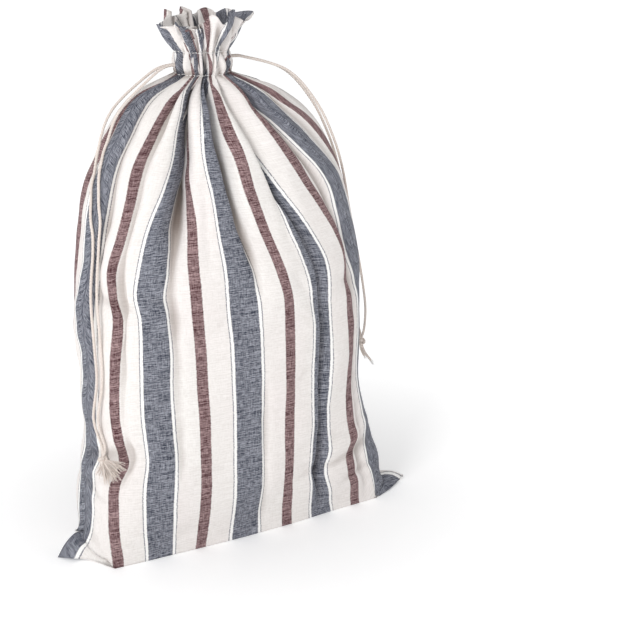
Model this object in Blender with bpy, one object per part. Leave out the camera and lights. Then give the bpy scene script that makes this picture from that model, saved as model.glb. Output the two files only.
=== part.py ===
"""A drawstring bread bag: a flat cloth bag, filled out and standing on its boxed base.

The bag is one closed cloth wall, hollow inside and open through its gathered neck. Two cords
run round the neck inside a stitched channel, and each leaves it at one side seam as two tails
that end in a knot. X runs along the bag's width, the front faces -Y, and the base stands on Z = 0.
"""

import math
from collections import namedtuple

import bmesh
import bpy
import numpy as np
from mathutils import Vector

MM = 0.001

# Cloth and bag sizes, in millimetres
FLAT_WIDTH = 308.0
WALL = 1.2
BODY_HALF_WIDTH = 122.0
BODY_HALF_DEPTH = 55.0
BODY_SET_BACK = 19.0
BASE_HALF_LENGTH = 133.0
BASE_HALF_DEPTH = 31.0
BASE_TAPER = 0.25
BASE_SHIFT = 4.0
BASE_EDGE_HEIGHT = 14.0
NECK_HEIGHT = 371.0
NECK_RADIUS = 23.0
NECK_LEAN_X = -10.0
NECK_LEAN_Y = 21.0
CHANNEL_HEIGHT = 17.0
HEADER_HEIGHT = 25.0
HEADER_RADIUS = 33.0
EAR_LENGTH = 26.0
EAR_HEIGHT = 19.0
EAR_HALF_WIDTH = 27.0

# Drawstring sizes, in millimetres
CORD_DIAMETER = 2.4
CORD_GAP = 0.35
LIE_CLEARANCE = 0.8
MOUTH_RADIUS = 8.0
FACING_WALL = 1.4
CHANNEL_OUTER_WALL = 1.6
TUNNEL_CLEARANCE = 0.7
SLIT_CLEARANCE = 0.6
KNOT_DIAMETER = 7.4
RIGHT_END_LENGTH = 19.0
LEFT_TUFT_LENGTH = 14.0

# Mesh fineness
COLUMNS_PER_FOLD = 8
CORD_BEVEL_RESOLUTION = 2
KNOT_SEGMENTS = 10
TUNNEL_SEGMENTS = 44

# The bag's outline from above the base to the neck. Height is a share of the neck's height. Width
# and depth run from 0 at the neck's radius to 1 at the body's half width and half depth. Back is
# the share of the body's set back, and lean the share of the way from there to the neck's middle.
Section = namedtuple("Section", "height width depth squareness back lean")
SECTIONS = (
    Section(0.100, 1.115, 0.700, 3.0, 0.30, 0.00),
    Section(0.180, 1.060, 0.850, 2.7, 0.55, 0.00),
    Section(0.280, 1.000, 0.950, 2.5, 0.75, 0.00),
    Section(0.400, 1.005, 1.000, 2.4, 0.90, 0.00),
    Section(0.520, 1.000, 1.000, 2.4, 1.00, 0.02),
    Section(0.620, 0.970, 0.960, 2.3, 1.00, 0.06),
    Section(0.700, 0.930, 0.880, 2.2, 1.00, 0.12),
    Section(0.780, 0.860, 0.800, 2.1, 1.00, 0.22),
    Section(0.840, 0.760, 0.710, 2.0, 1.00, 0.35),
    Section(0.890, 0.650, 0.610, 2.0, 1.00, 0.50),
    Section(0.935, 0.500, 0.480, 2.0, 1.00, 0.70),
    Section(0.970, 0.330, 0.330, 2.0, 1.00, 0.88),
    Section(1.000, 0.000, 0.000, 2.0, 1.00, 1.00),
)

# The gathers. Cloth is where a fold lies on the flat cloth, in millimetres from the left seam along
# the front. Place, upper and neck are the shares of the way round where it lies on the body, at the
# shoulder and at the neck. Depth is a share of the full fold, width a share of the way to the
# neighbouring folds, and reach the share of the neck's height where the fold has died out.
Fold = namedtuple("Fold", "cloth place upper neck depth width reach")
FOLDS = (
    Fold(14.0, 0.035, 0.049, 0.049, 0.75, 0.80, 0.52),
    Fold(47.0, 0.076, 0.094, 0.110, 0.85, 0.80, 0.55),
    Fold(101.0, 0.156, 0.159, 0.154, 1.10, 0.60, 0.30),
    Fold(170.0, 0.270, 0.236, 0.222, 0.90, 0.60, 0.50),
    Fold(231.0, 0.370, 0.313, 0.282, 1.00, 0.60, 0.45),
    Fold(286.0, 0.441, 0.385, 0.341, 0.75, 0.75, 0.55),
    Fold(333.0, 0.520, 0.457, 0.393, 0.65, 0.80, 0.55),
    Fold(390.0, 0.619, 0.585, 0.580, 0.80, 0.75, 0.45),
    Fold(447.0, 0.723, 0.697, 0.680, 0.80, 0.80, 0.48),
    Fold(504.0, 0.826, 0.824, 0.807, 0.90, 0.75, 0.42),
    Fold(561.0, 0.895, 0.930, 0.926, 0.75, 0.80, 0.50),
)
FOLD_HEIGHTS = (0.45, 0.80, 1.00)

# Broad dents (positive) and swells (negative) of the filled body. Place is the share of the way
# round, height a share of the neck's height, the spans are half sizes as shares of the flat
# width, and depth is a share of the body's half depth.
Dent = namedtuple("Dent", "place height span_round span_up depth")
DENTS = (
    Dent(0.000, 0.10, 0.08, 0.09, 0.070),
    Dent(0.985, 0.26, 0.07, 0.07, 0.060),
    Dent(0.010, 0.40, 0.07, 0.08, 0.050),
    Dent(0.500, 0.27, 0.09, 0.13, 0.100),
    Dent(0.100, 0.47, 0.12, 0.12, -0.050),
    Dent(0.180, 0.34, 0.12, 0.14, 0.045),
    Dent(0.400, 0.20, 0.10, 0.12, 0.050),
    Dent(0.300, 0.60, 0.12, 0.12, -0.045),
    Dent(0.700, 0.35, 0.14, 0.16, 0.050),
    Dent(0.860, 0.55, 0.12, 0.12, -0.045),
)

# How the header's edge stands: flare is a share of the header's flare, and rise a share of its height.
Flap = namedtuple("Flap", "place flare rise")
FLAPS = (
    Flap(0.00, 1.15, -0.25),
    Flap(0.06, 0.85, -0.05),
    Flap(0.12, 1.05, 0.02),
    Flap(0.17, 0.60, -0.12),
    Flap(0.22, 0.95, 0.08),
    Flap(0.27, 0.70, 0.00),
    Flap(0.33, 1.00, 0.16),
    Flap(0.40, 0.85, 0.02),
    Flap(0.46, 1.25, 0.06),
    Flap(0.53, 1.20, -0.12),
    Flap(0.60, 0.80, 0.10),
    Flap(0.68, 1.05, 0.00),
    Flap(0.75, 0.75, 0.12),
    Flap(0.82, 1.00, -0.05),
    Flap(0.90, 0.85, 0.06),
)

# The tails' routes over the cloth. Place is the share of the way round, height a share of the
# neck's height, and lift how far the cord stands off the cloth, in cord diameters.
Step = namedtuple("Step", "place height lift")
LEFT_TAIL_FRONT = (
    Step(0.012, 0.985, 2.2),
    Step(0.012, 0.930, 1.0),
    Step(0.018, 0.860, 0.0),
    Step(0.028, 0.780, 0.0),
    Step(0.040, 0.680, 0.0),
    Step(0.047, 0.580, 0.0),
    Step(0.052, 0.480, 0.0),
    Step(0.050, 0.400, 0.0),
    Step(0.040, 0.330, 0.0),
    Step(0.036, 0.290, 0.0),
    Step(0.040, 0.255, 0.4),
)
LEFT_TAIL_BACK = (
    Step(-0.012, 0.985, 2.2),
    Step(-0.002, 0.930, 1.0),
    Step(0.008, 0.860, 0.0),
    Step(0.019, 0.780, 0.0),
    Step(0.031, 0.680, 0.0),
    Step(0.038, 0.580, 0.0),
    Step(0.043, 0.480, 0.0),
    Step(0.042, 0.400, 0.0),
    Step(0.032, 0.330, 0.0),
    Step(0.028, 0.290, 0.0),
    Step(0.033, 0.255, 0.4),
)
RIGHT_TAIL_FRONT = (
    Step(0.490, 0.995, 4.0),
    Step(0.492, 0.960, 4.5),
    Step(0.494, 0.900, 3.0),
    Step(0.496, 0.830, 1.4),
    Step(0.498, 0.760, 0.4),
    Step(0.500, 0.680, 0.0),
    Step(0.498, 0.600, 0.6),
    Step(0.496, 0.520, 1.8),
    Step(0.495, 0.440, 3.2),
    Step(0.496, 0.385, 3.6),
)
RIGHT_TAIL_BACK = (
    Step(0.510, 0.995, 4.0),
    Step(0.508, 0.960, 4.5),
    Step(0.508, 0.900, 3.0),
    Step(0.508, 0.830, 1.4),
    Step(0.510, 0.760, 0.4),
    Step(0.514, 0.680, 0.0),
    Step(0.522, 0.600, 0.0),
    Step(0.526, 0.520, 0.0),
    Step(0.518, 0.440, 0.6),
    Step(0.506, 0.385, 2.4),
)

CLOTH = ("striped_cloth", (0.80, 0.77, 0.72), 0.92)
CORD = ("cotton_cord", (0.84, 0.78, 0.69), 0.90)


def smooth_step(value):
    """0 below 0, 1 above 1, and an easy rise between."""
    value = min(max(value, 0.0), 1.0)
    return value * value * (3.0 - 2.0 * value)


def eased(rows, key, names, at):
    """The named columns of a table at a place between its rows, on a smooth curve."""
    keys = [getattr(row, key) for row in rows]
    at = min(max(at, keys[0]), keys[-1])
    i = max(k for k in range(len(rows) - 1) if keys[k] <= at)
    span = keys[i + 1] - keys[i]
    t = (at - keys[i]) / span
    found = []
    for name in names:
        a, b = getattr(rows[i], name), getattr(rows[i + 1], name)
        before, after = max(i - 1, 0), min(i + 2, len(rows) - 1)
        rise_a = (b - getattr(rows[before], name)) / (keys[i + 1] - keys[before]) * span
        rise_b = (getattr(rows[after], name) - a) / (keys[after] - keys[i]) * span
        found.append(
            (2 * t**3 - 3 * t**2 + 1) * a
            + (t**3 - 2 * t**2 + t) * rise_a
            + (3 * t**2 - 2 * t**3) * b
            + (t**3 - t**2) * rise_b
        )
    return found


def turn_between(a, b):
    """The signed share of a turn from b to a, from -0.5 to 0.5."""
    return (a - b + 0.5) % 1.0 - 0.5


def superellipse(half_width, half_depth, squareness, places):
    """Points on a rounded outline at shares of its length, from -X along -Y, with outward normals."""
    count = 720
    turn = np.linspace(0.0, 2.0 * math.pi, count + 1)
    c, s = -np.cos(turn), -np.sin(turn)
    x = half_width * np.sign(c) * np.abs(c) ** (2.0 / squareness)
    y = half_depth * np.sign(s) * np.abs(s) ** (2.0 / squareness)
    along = np.concatenate([[0.0], np.cumsum(np.hypot(np.diff(x), np.diff(y)))])
    at = np.asarray(places) % 1.0 * along[-1]
    px, py = np.interp(at, along, x), np.interp(at, along, y)
    step = along[-1] / count
    dx = np.interp((at + step) % along[-1], along, x) - np.interp((at - step) % along[-1], along, x)
    dy = np.interp((at + step) % along[-1], along, y) - np.interp((at - step) % along[-1], along, y)
    length = np.hypot(dx, dy)
    return np.stack([px, py], 1), np.stack([dy, -dx], 1) / length[:, None], along[-1]


def fold_places(height_share):
    """Where the gathers lie at a height, as shares of the way round."""
    return [np.interp(height_share, FOLD_HEIGHTS, (f.place, f.upper, f.neck)) for f in FOLDS]


def fold_widths(height_share):
    """How far each gather reaches each way, as shares of the way round: (towards the last, towards the next)."""
    places = fold_places(height_share)
    return [
        (
            fold.width * abs(turn_between(places[k], places[k - 1])) / 2.0,
            fold.width * abs(turn_between(places[(k + 1) % len(FOLDS)], places[k])) / 2.0,
        )
        for k, fold in enumerate(FOLDS)
    ]


def fold_slack(k, height_share, length):
    """How deep a gather has to lie to take up its cloth on an outline of this length, in millimetres."""
    places = fold_places(height_share)
    after = (k + 1) % len(FOLDS)
    cloth = (FOLDS[after].cloth - FOLDS[k - 1].cloth) % (2.0 * FLAT_WIDTH) / 2.0
    round_it = (places[after] - places[k - 1]) % 1.0 * length / 2.0
    return 0.5 * math.sqrt(max(0.0, cloth**2 - round_it**2))


def fold_depths(places, height_share, length, room):
    """How deep the gathers lie at places on an outline of this length, in millimetres."""
    middles, widths = fold_places(height_share), fold_widths(height_share)
    total = np.zeros(len(places))
    for k, fold in enumerate(FOLDS):
        fade = smooth_step((height_share - fold.reach) / (1.0 - fold.reach) * 2.2)
        tightest = 2.0 * (min(widths[k]) * length / math.pi) ** 2 / (1.1 * WALL)
        depth = min(fold.depth * fade * min(fold_slack(k, height_share, length), room), tightest)
        for p, place in enumerate(places):
            away = turn_between(place, middles[k])
            side = abs(away) / (widths[k][0] if away < 0 else widths[k][1])
            if side < 1.0:
                total[p] += depth * math.cos(side * math.pi / 2.0) ** 2
    return total


def dent_depth(place, height_share):
    """The sum of the body's broad dents at a place, in millimetres inwards."""
    total = 0.0
    for dent in DENTS:
        across = turn_between(place, dent.place) * 2.0 * FLAT_WIDTH / (dent.span_round * FLAT_WIDTH)
        up = (height_share - dent.height) * NECK_HEIGHT / (dent.span_up * FLAT_WIDTH)
        total += dent.depth * BODY_HALF_DEPTH * math.exp(-(across * across + up * up))
    return total


def tunnel_radii():
    """The channel tunnel's inner and outer radius."""
    inner = MOUTH_RADIUS + FACING_WALL
    return inner, inner + CORD_DIAMETER + 2.0 * TUNNEL_CLEARANCE


def body_outline(height, places):
    """The outer outline at a height up to the neck, and the normals, without the ears."""
    share = height / NECK_HEIGHT
    first = SECTIONS[0]
    wide, deep, squareness, back, lean = eased(
        SECTIONS, "height", ("width", "depth", "squareness", "back", "lean"), share
    )
    half_width = NECK_RADIUS + wide * (BODY_HALF_WIDTH - NECK_RADIUS)
    half_depth = NECK_RADIUS + deep * (BODY_HALF_DEPTH - NECK_RADIUS)
    low = 1.0 - min(1.0, share / first.height)
    half_width += (BASE_HALF_LENGTH - half_width) * low**2
    half_depth += (BASE_HALF_DEPTH - half_depth) * low**2
    squareness += (4.5 - squareness) * low
    points, normals, length = superellipse(half_width, half_depth, squareness, places)
    points[:, 1] *= 1.0 - BASE_TAPER * (1.0 - smooth_step(share / 0.3)) * points[:, 0] / half_width
    core = tunnel_radii()[1] + CHANNEL_OUTER_WALL
    room = (min(half_width, half_depth) - NECK_RADIUS) * 0.5 + NECK_RADIUS - core
    inwards = fold_depths(places, share, length, room) + [dent_depth(p, share) for p in places]
    points = points - normals * inwards[:, None]
    base_shift = BASE_SHIFT * (1.0 - smooth_step(share / 0.35))
    set_back = BODY_SET_BACK * back * min(1.0, share / first.height)
    middle = np.array([base_shift, set_back])
    neck = np.array([NECK_LEAN_X, NECK_LEAN_Y])
    return points + middle + (neck - middle) * lean, normals


def ear_reach(place, height):
    """How far a corner ear stands out at a place near a side seam, in millimetres."""
    if height >= EAR_HEIGHT:
        return 0.0
    from_seam = min(abs(turn_between(place, 0.0)), abs(turn_between(place, 0.5)))
    across = smooth_step(1.0 - from_seam * 2.0 * FLAT_WIDTH / EAR_HALF_WIDTH)
    up = 1.0 - height / EAR_HEIGHT
    return EAR_LENGTH * up**0.8 * across


def header_outline(share, places):
    """The header's outline at a share of its height above the channel, with its heights."""
    rows = [*FLAPS, FLAPS[0]._replace(place=1.0)]
    points, heights = [], []
    core = tunnel_radii()[1] + CHANNEL_OUTER_WALL
    room = (NECK_RADIUS - core) * (1.0 + 1.6 * share)
    deep = fold_depths(places, 1.0, 2.0 * math.pi * NECK_RADIUS * (1.0 + 0.3 * share), room)
    for place, depth in zip(places, deep, strict=True):
        flare, rise = eased(rows, "place", ("flare", "rise"), place % 1.0)
        out = NECK_RADIUS + (HEADER_RADIUS - NECK_RADIUS) * flare * math.sin(share * math.pi / 2.0)
        radius = out - depth
        turn = 2.0 * math.pi * place
        points.append((NECK_LEAN_X - math.cos(turn) * radius, NECK_LEAN_Y - math.sin(turn) * radius))
        heights.append(NECK_HEIGHT + CHANNEL_HEIGHT + HEADER_HEIGHT * share * (1.0 + rise))
    return np.array(points), np.array(heights)


def column_places(height_share):
    """Shares of the way round, with the same number of columns between each two neighbouring gathers."""
    middles = fold_places(height_share)
    places = []
    for k, middle in enumerate(middles):
        span = (middles[(k + 1) % len(FOLDS)] - middle) % 1.0
        places += [(middle + span * m / COLUMNS_PER_FOLD) % 1.0 for m in range(COLUMNS_PER_FOLD)]
    return places


# Heights of the outer rings. The lower ones use every second column.
COARSE_HEIGHTS = (0.0, 0.008, 0.024, 0.048, 0.09, 0.16, 0.25, 0.34, 0.43, 0.52)
FINE_HEIGHTS = (0.59, 0.66, 0.72, 0.775, 0.825, 0.87, 0.91, 0.945, 0.975, 1.0)
CHANNEL_SHARES = (0.5, 1.0)
HEADER_SHARES = (0.25, 0.5, 0.75, 1.0)


def cloth_rings():
    """The outer and inner rings from the base to the top edge, as (coarse, outer points, inner points)."""
    rings = []
    for share in COARSE_HEIGHTS + FINE_HEIGHTS:
        coarse = share in COARSE_HEIGHTS
        height = share * NECK_HEIGHT
        places = column_places(share)
        points, _ = body_outline(height, places)
        ears = np.array([ear_reach(p, height) for p in places])
        side = np.sign(points[:, 0])
        outer = points + np.stack([side * ears, np.zeros(len(ears))], 1)
        inner = points - ring_normals(points) * WALL
        low = max(height, WALL)
        rings.append((coarse, with_height(outer, height), with_height(inner, low)))
    slope_inner_walls(rings)
    places = column_places(1.0)
    turn = 2.0 * math.pi * np.array(places)
    middle = np.array([NECK_LEAN_X, NECK_LEAN_Y])
    mouth = middle - MOUTH_RADIUS * np.stack([np.cos(turn), np.sin(turn)], 1)
    neck = rings[-1][1]
    rings[-1] = (False, neck, with_height(mouth, NECK_HEIGHT))
    for share in CHANNEL_SHARES:
        height = NECK_HEIGHT + CHANNEL_HEIGHT * share
        rings.append((False, with_height(neck[:, :2], height), with_height(mouth, height)))
    for share in HEADER_SHARES:
        points, heights = header_outline(share, places)
        inner = points - ring_normals(points) * WALL
        rings.append((False, with_height(points, heights), with_height(inner, heights)))
    return rings


def ring_normals(points):
    """The outward normals of a closed outline, from each point's two neighbours."""
    along = np.roll(points, -1, axis=0) - np.roll(points, 1, axis=0)
    normals = np.stack([along[:, 1], -along[:, 0]], 1)
    return normals / np.linalg.norm(normals, axis=1)[:, None]


def with_height(points, height):
    return np.column_stack([points, np.broadcast_to(height, len(points))])


def slope_inner_walls(rings):
    """Moves the inner rings so that the wall keeps its thickness where the cloth slopes in to the neck."""
    for k in range(1, len(rings) - 1):
        coarse, outer, inner = rings[k]
        run = np.linalg.norm(rings[k + 1][1][:, :2] - rings[k - 1][1][:, :2], axis=1)
        rise = rings[k + 1][1][:, 2] - rings[k - 1][1][:, 2]
        lean_in = np.einsum("ij,ij->i", rings[k - 1][1][:, :2] - rings[k + 1][1][:, :2], outer[:, :2])
        slope = np.where(lean_in > 0.0, run / np.hypot(run, rise), 0.0)
        inner[:, 2] -= WALL * slope * (inner[:, 2] > BASE_EDGE_HEIGHT)


def bridge_rows(bm, low, high, flip):
    """Faces between two rings of vertices, where the lower one may have every second column only."""
    count = len(high)
    ratio = count // len(low)
    for j in range(len(low)):
        a, b = low[j], low[(j + 1) % len(low)]
        top = [high[(j * ratio + m) % count] for m in range(ratio + 1)]
        if ratio == 1:
            faces = [(a, b, top[1], top[0])]
        else:
            faces = [(a, top[1], top[0]), (a, b, top[1]), (b, top[2], top[1])]
        for face in faces:
            bm.faces.new(face[::-1] if flip else face)


def bag_centre():
    """The middle of the bag's footprint, which the finished bag stands on the origin with."""
    points = np.concatenate([outer for _, outer, _ in cloth_rings()])
    return (points.min(axis=0)[:2] + points.max(axis=0)[:2]) / 2.0


def link_object(name, mesh, look):
    """An object of a mesh in the scene, with its material, moved so that the bag stands on the origin."""
    label, colour, roughness = look
    material = bpy.data.materials.get(label)
    if material is None:
        material = bpy.data.materials.new(label)
        material.use_nodes = True
        shader = material.node_tree.nodes["Principled BSDF"]
        shader.inputs["Base Color"].default_value = (*colour, 1.0)
        shader.inputs["Roughness"].default_value = roughness
        shader.inputs["Metallic"].default_value = 0.0
    mesh.materials.append(material)
    made = bpy.data.objects.new(name, mesh)
    middle = bag_centre()
    made.location = (-middle[0] * MM, -middle[1] * MM, 0.0)
    bpy.context.scene.collection.objects.link(made)
    return made


def make_bag():
    """The cloth wall as one closed solid, with the cord tunnel and its two side slits cut out."""
    bm = bmesh.new()
    skins = ([], [])
    for coarse, outer, inner in cloth_rings():
        for skin, points in zip(skins, (outer, inner), strict=True):
            chosen = points[::2] if coarse else points
            skin.append([bm.verts.new(Vector(p) * MM) for p in chosen])
    for skin, flip in zip(skins, (False, True), strict=True):
        for low, high in zip(skin, skin[1:], strict=False):
            bridge_rows(bm, low, high, flip)
    bridge_rows(bm, skins[0][-1], skins[1][-1], False)
    bm.faces.new(skins[0][0][::-1])
    bm.faces.new(skins[1][0])
    bmesh.ops.recalc_face_normals(bm, faces=bm.faces)
    mesh = bpy.data.meshes.new("bag_body")
    bm.to_mesh(mesh)
    bm.free()
    bag = link_object("bag_body", mesh, CLOTH)
    for cutter in (make_tunnel_cutter(), *(make_slit_cutter(side) for side in (-1, 1))):
        cut = bag.modifiers.new(cutter.name, "BOOLEAN")
        cut.operation = "DIFFERENCE"
        cut.solver = "EXACT"
        cut.object = cutter
    return bag


def hide_cutter(cutter):
    cutter.hide_render = True
    cutter.display_type = "WIRE"
    return cutter


def cord_levels():
    """The heights of the left and right cord inside the channel."""
    middle = NECK_HEIGHT + CHANNEL_HEIGHT / 2.0
    apart = (CORD_DIAMETER + TUNNEL_CLEARANCE) / 2.0
    return middle - apart, middle + apart


def tunnel_span():
    """The lowest and highest reach of the tunnel."""
    low, high = cord_levels()
    edge = CORD_DIAMETER / 2.0 + TUNNEL_CLEARANCE
    return low - edge, high + edge


def make_tunnel_cutter():
    """A turned ring of rectangular section, for the space that the cords run in."""
    inner, outer = tunnel_radii()
    low, high = tunnel_span()
    corners = ((inner, low), (outer, low), (outer, high), (inner, high))
    bm = bmesh.new()
    rings = []
    for k in range(TUNNEL_SEGMENTS):
        turn = 2.0 * math.pi * k / TUNNEL_SEGMENTS
        rings.append(
            [
                bm.verts.new(
                    (
                        (NECK_LEAN_X + radius * math.cos(turn)) * MM,
                        (NECK_LEAN_Y + radius * math.sin(turn)) * MM,
                        height * MM,
                    )
                )
                for radius, height in corners
            ]
        )
    for k, ring in enumerate(rings):
        other = rings[(k + 1) % TUNNEL_SEGMENTS]
        for c in range(4):
            bm.faces.new((ring[c], other[c], other[(c + 1) % 4], ring[(c + 1) % 4]))
    bmesh.ops.recalc_face_normals(bm, faces=bm.faces)
    mesh = bpy.data.meshes.new("tunnel_cutter")
    bm.to_mesh(mesh)
    bm.free()
    return hide_cutter(link_object("tunnel_cutter", mesh, CLOTH))


def slit_half_width():
    return CORD_DIAMETER + SLIT_CLEARANCE * 4.0


def make_slit_cutter(side):
    """A box from the tunnel out through the cloth at a side seam, where the tails leave."""
    low, high = tunnel_span()
    inner, outer = tunnel_radii()
    near, far = (inner + outer) / 2.0, NECK_RADIUS * 1.6
    bm = bmesh.new()
    bmesh.ops.create_cube(bm, size=1.0)
    for vert in bm.verts:
        vert.co = Vector(
            (
                (NECK_LEAN_X + side * (near + far) / 2.0 + vert.co.x * (far - near)) * MM,
                (NECK_LEAN_Y + vert.co.y * 2.0 * slit_half_width()) * MM,
                ((low + high) / 2.0 + vert.co.z * (high - low)) * MM,
            )
        )
    name = "left_slit_cutter" if side < 0 else "right_slit_cutter"
    mesh = bpy.data.meshes.new(name)
    bm.to_mesh(mesh)
    bm.free()
    return hide_cutter(link_object(name, mesh, CLOTH))


def smooth_route(points, spacing):
    """A curve through the points, read at an even spacing, in millimetres."""
    dense = []
    for i in range(len(points) - 1):
        before = points[max(i - 1, 0)]
        a, b = points[i], points[i + 1]
        after = points[min(i + 2, len(points) - 1)]
        for k in range(24):
            t = k / 24.0
            dense.append(
                0.5
                * (
                    2.0 * a
                    + (b - before) * t
                    + (2.0 * before - 5.0 * a + 4.0 * b - after) * t * t
                    + (3.0 * a - before - 3.0 * b + after) * t**3
                )
            )
    dense.append(points[-1])
    dense = np.array(dense)
    along = np.concatenate([[0.0], np.cumsum(np.linalg.norm(np.diff(dense, axis=0), axis=1))])
    count = max(4, round(along[-1] / spacing) + 1)
    at = np.linspace(0.0, along[-1], count)
    return np.stack([np.interp(at, along, dense[:, k]) for k in range(3)], 1)


def make_cord(name, route):
    """A round tube with closed ends along a route given in millimetres."""
    curve = bpy.data.curves.new(name, "CURVE")
    curve.dimensions = "3D"
    curve.bevel_depth = CORD_DIAMETER / 2.0 * MM
    curve.bevel_resolution = CORD_BEVEL_RESOLUTION
    curve.use_fill_caps = True
    spline = curve.splines.new("POLY")
    spline.points.add(len(route) - 1)
    for point, place in zip(spline.points, route, strict=True):
        point.co = (*(Vector(place) * MM), 1.0)
    return link_object(name, curve, CORD)


def on_cloth(step, side_gap=CORD_GAP):
    """A point above the cloth where a cord's middle runs, in millimetres."""
    height = step.height * NECK_HEIGHT
    probe = 2.0
    here = surface_point(step.place, height)
    up = surface_point(step.place, height + probe) - surface_point(step.place, height - probe)
    round_it = surface_point(step.place + 0.004, height) - surface_point(step.place - 0.004, height)
    normal = np.cross(round_it, up)
    normal /= np.linalg.norm(normal)
    stand = CORD_DIAMETER * (0.5 + step.lift) + side_gap + LIE_CLEARANCE
    return here + normal * stand


def surface_point(place, height):
    height = min(height, NECK_HEIGHT)
    points, _ = body_outline(height, [place])
    return np.array([*points[0], height])


def slit_exit(side, front):
    """Where a tail starts, just outside the ridge of cloth at a side slit."""
    level = cord_levels()[0 if side < 0 else 1]
    apart = (CORD_DIAMETER + SLIT_CLEARANCE) / 2.0
    return np.array([NECK_LEAN_X + side * NECK_RADIUS, NECK_LEAN_Y + (-apart if front else apart), level])


def make_tail(name, side, front, steps, knot):
    """One free tail, from the slit over the cloth to its knot."""
    start = slit_exit(side, front)
    straight = start + np.array([side * 2.5 * CORD_DIAMETER, 0.0, 0.0])
    end = knot_socket(knot, side, front)
    points = [start, straight, *(on_cloth(step) for step in steps), end]
    route = smooth_route([np.array(p) for p in points], 4.0 * CORD_DIAMETER)
    return make_cord(name, route)


def make_cord_ring(name, side):
    """The part of a cord inside the channel, from its slit all the way round and back to the slit."""
    level = cord_levels()[0 if side < 0 else 1]
    inner, outer = tunnel_radii()
    radius = (inner + outer) / 2.0
    apart = (CORD_DIAMETER + SLIT_CLEARANCE) / 2.0
    start = math.pi if side < 0 else 0.0
    bend = math.asin((apart + 1.2 * CORD_DIAMETER) / radius)
    turns = np.linspace(start + bend, start + 2.0 * math.pi - bend, 25)
    ring = [
        np.array([NECK_LEAN_X + radius * math.cos(t), NECK_LEAN_Y + radius * math.sin(t), level])
        for t in turns
    ]
    reach = NECK_LEAN_X + side * (NECK_RADIUS - CORD_GAP)
    mouth = NECK_LEAN_X + side * (outer + 0.3 * CORD_DIAMETER)
    first, last = (apart, -apart) if side > 0 else (-apart, apart)
    ends = [
        [np.array([reach, NECK_LEAN_Y + y, level]), np.array([mouth, NECK_LEAN_Y + y, level])]
        for y in (first, last)
    ]
    return make_cord(name, smooth_route([*ends[0], *ring, *ends[1][::-1]], 1.4 * CORD_DIAMETER))


def knot_place(side):
    """The middle of a knot, in millimetres, resting on the cloth below the tails' last steps."""
    if side < 0:
        step = Step(0.036, 0.226, 0.0)
    else:
        step = Step(0.501, 0.352, 2.4)
    return on_cloth(step, CORD_GAP + (KNOT_DIAMETER - CORD_DIAMETER) / 2.0)


def knot_socket(knot, side, front):
    """Where a tail meets its knot, a gap clear of the knot's top."""
    apart = (CORD_DIAMETER + SLIT_CLEARANCE) / 2.0
    top = KNOT_DIAMETER / 2.0 + CORD_GAP
    return knot + np.array([0.0, -apart if front else apart, top])


def blob(bm, centre, radii, direction=(0.0, 0.0, 1.0)):
    """A rounded lump, its third radius along the direction, in millimetres."""
    made = bmesh.ops.create_uvsphere(bm, u_segments=KNOT_SEGMENTS, v_segments=6, radius=1.0)
    turn = Vector((0.0, 0.0, 1.0)).rotation_difference(Vector(direction))
    for vert in made["verts"]:
        scaled = Vector((vert.co.x * radii[0], vert.co.y * radii[1], vert.co.z * radii[2]))
        vert.co = (Vector(centre) + turn @ scaled) * MM


def make_knot(name, side):
    """An overhand knot with the cord ends below it, joined into one solid."""
    centre = knot_place(side)
    parts = []
    half = KNOT_DIAMETER / 2.0
    bm = bmesh.new()
    blob(bm, centre, (half, half, half))
    parts.append(bm)
    if side < 0:
        lengths, radius = (1.0, 0.9, 0.95, 0.8), CORD_DIAMETER * 0.62
        spreads = ((-0.3, -0.9, -0.8), (-0.15, -0.2, -1.0), (-0.3, 0.5, -0.9), (-0.5, -0.5, -0.5))
        lengths = [LEFT_TUFT_LENGTH * share for share in lengths]
    else:
        lengths, radius = (RIGHT_END_LENGTH, RIGHT_END_LENGTH * 0.85), CORD_DIAMETER / 2.0
        spreads = ((0.45, -0.35, -1.0), (0.5, 0.30, -0.9))
    for length, spread in zip(lengths, spreads, strict=True):
        direction = Vector(spread).normalized()
        bm = bmesh.new()
        middle = Vector(centre) + direction * (half * 0.5 + length / 2.0)
        blob(bm, middle, (radius, radius, length / 2.0 + half * 0.3), direction)
        parts.append(bm)
    made = []
    for k, bm in enumerate(parts):
        mesh = bpy.data.meshes.new(name if k == 0 else f"{name}_end_{k}")
        bm.to_mesh(mesh)
        bm.free()
        made.append(link_object(mesh.name, mesh, CORD))
    for k, end in enumerate(made[1:]):
        join = made[0].modifiers.new(f"join_{k}", "BOOLEAN")
        join.operation = "UNION"
        join.solver = "EXACT"
        join.object = hide_cutter(end)
    return made[0]


def main():
    for old in list(bpy.data.objects):
        bpy.data.objects.remove(old)
    make_bag()
    for side, word, front_steps, back_steps in (
        (-1, "left", LEFT_TAIL_FRONT, LEFT_TAIL_BACK),
        (1, "right", RIGHT_TAIL_FRONT, RIGHT_TAIL_BACK),
    ):
        knot = knot_place(side)
        make_cord_ring(f"{word}_cord_in_channel", side)
        make_tail(f"{word}_tail_front", side, True, front_steps, knot)
        make_tail(f"{word}_tail_back", side, False, back_steps, knot)
        make_knot(f"{word}_knot", side)


main()
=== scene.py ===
"""The drawstring bread bag dressed over its CAD frame: striped cloth, gathers, cords and knots."""

import math
from collections import namedtuple

import bpy
import numpy as np
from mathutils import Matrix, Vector
from mathutils.bvhtree import BVHTree


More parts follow.
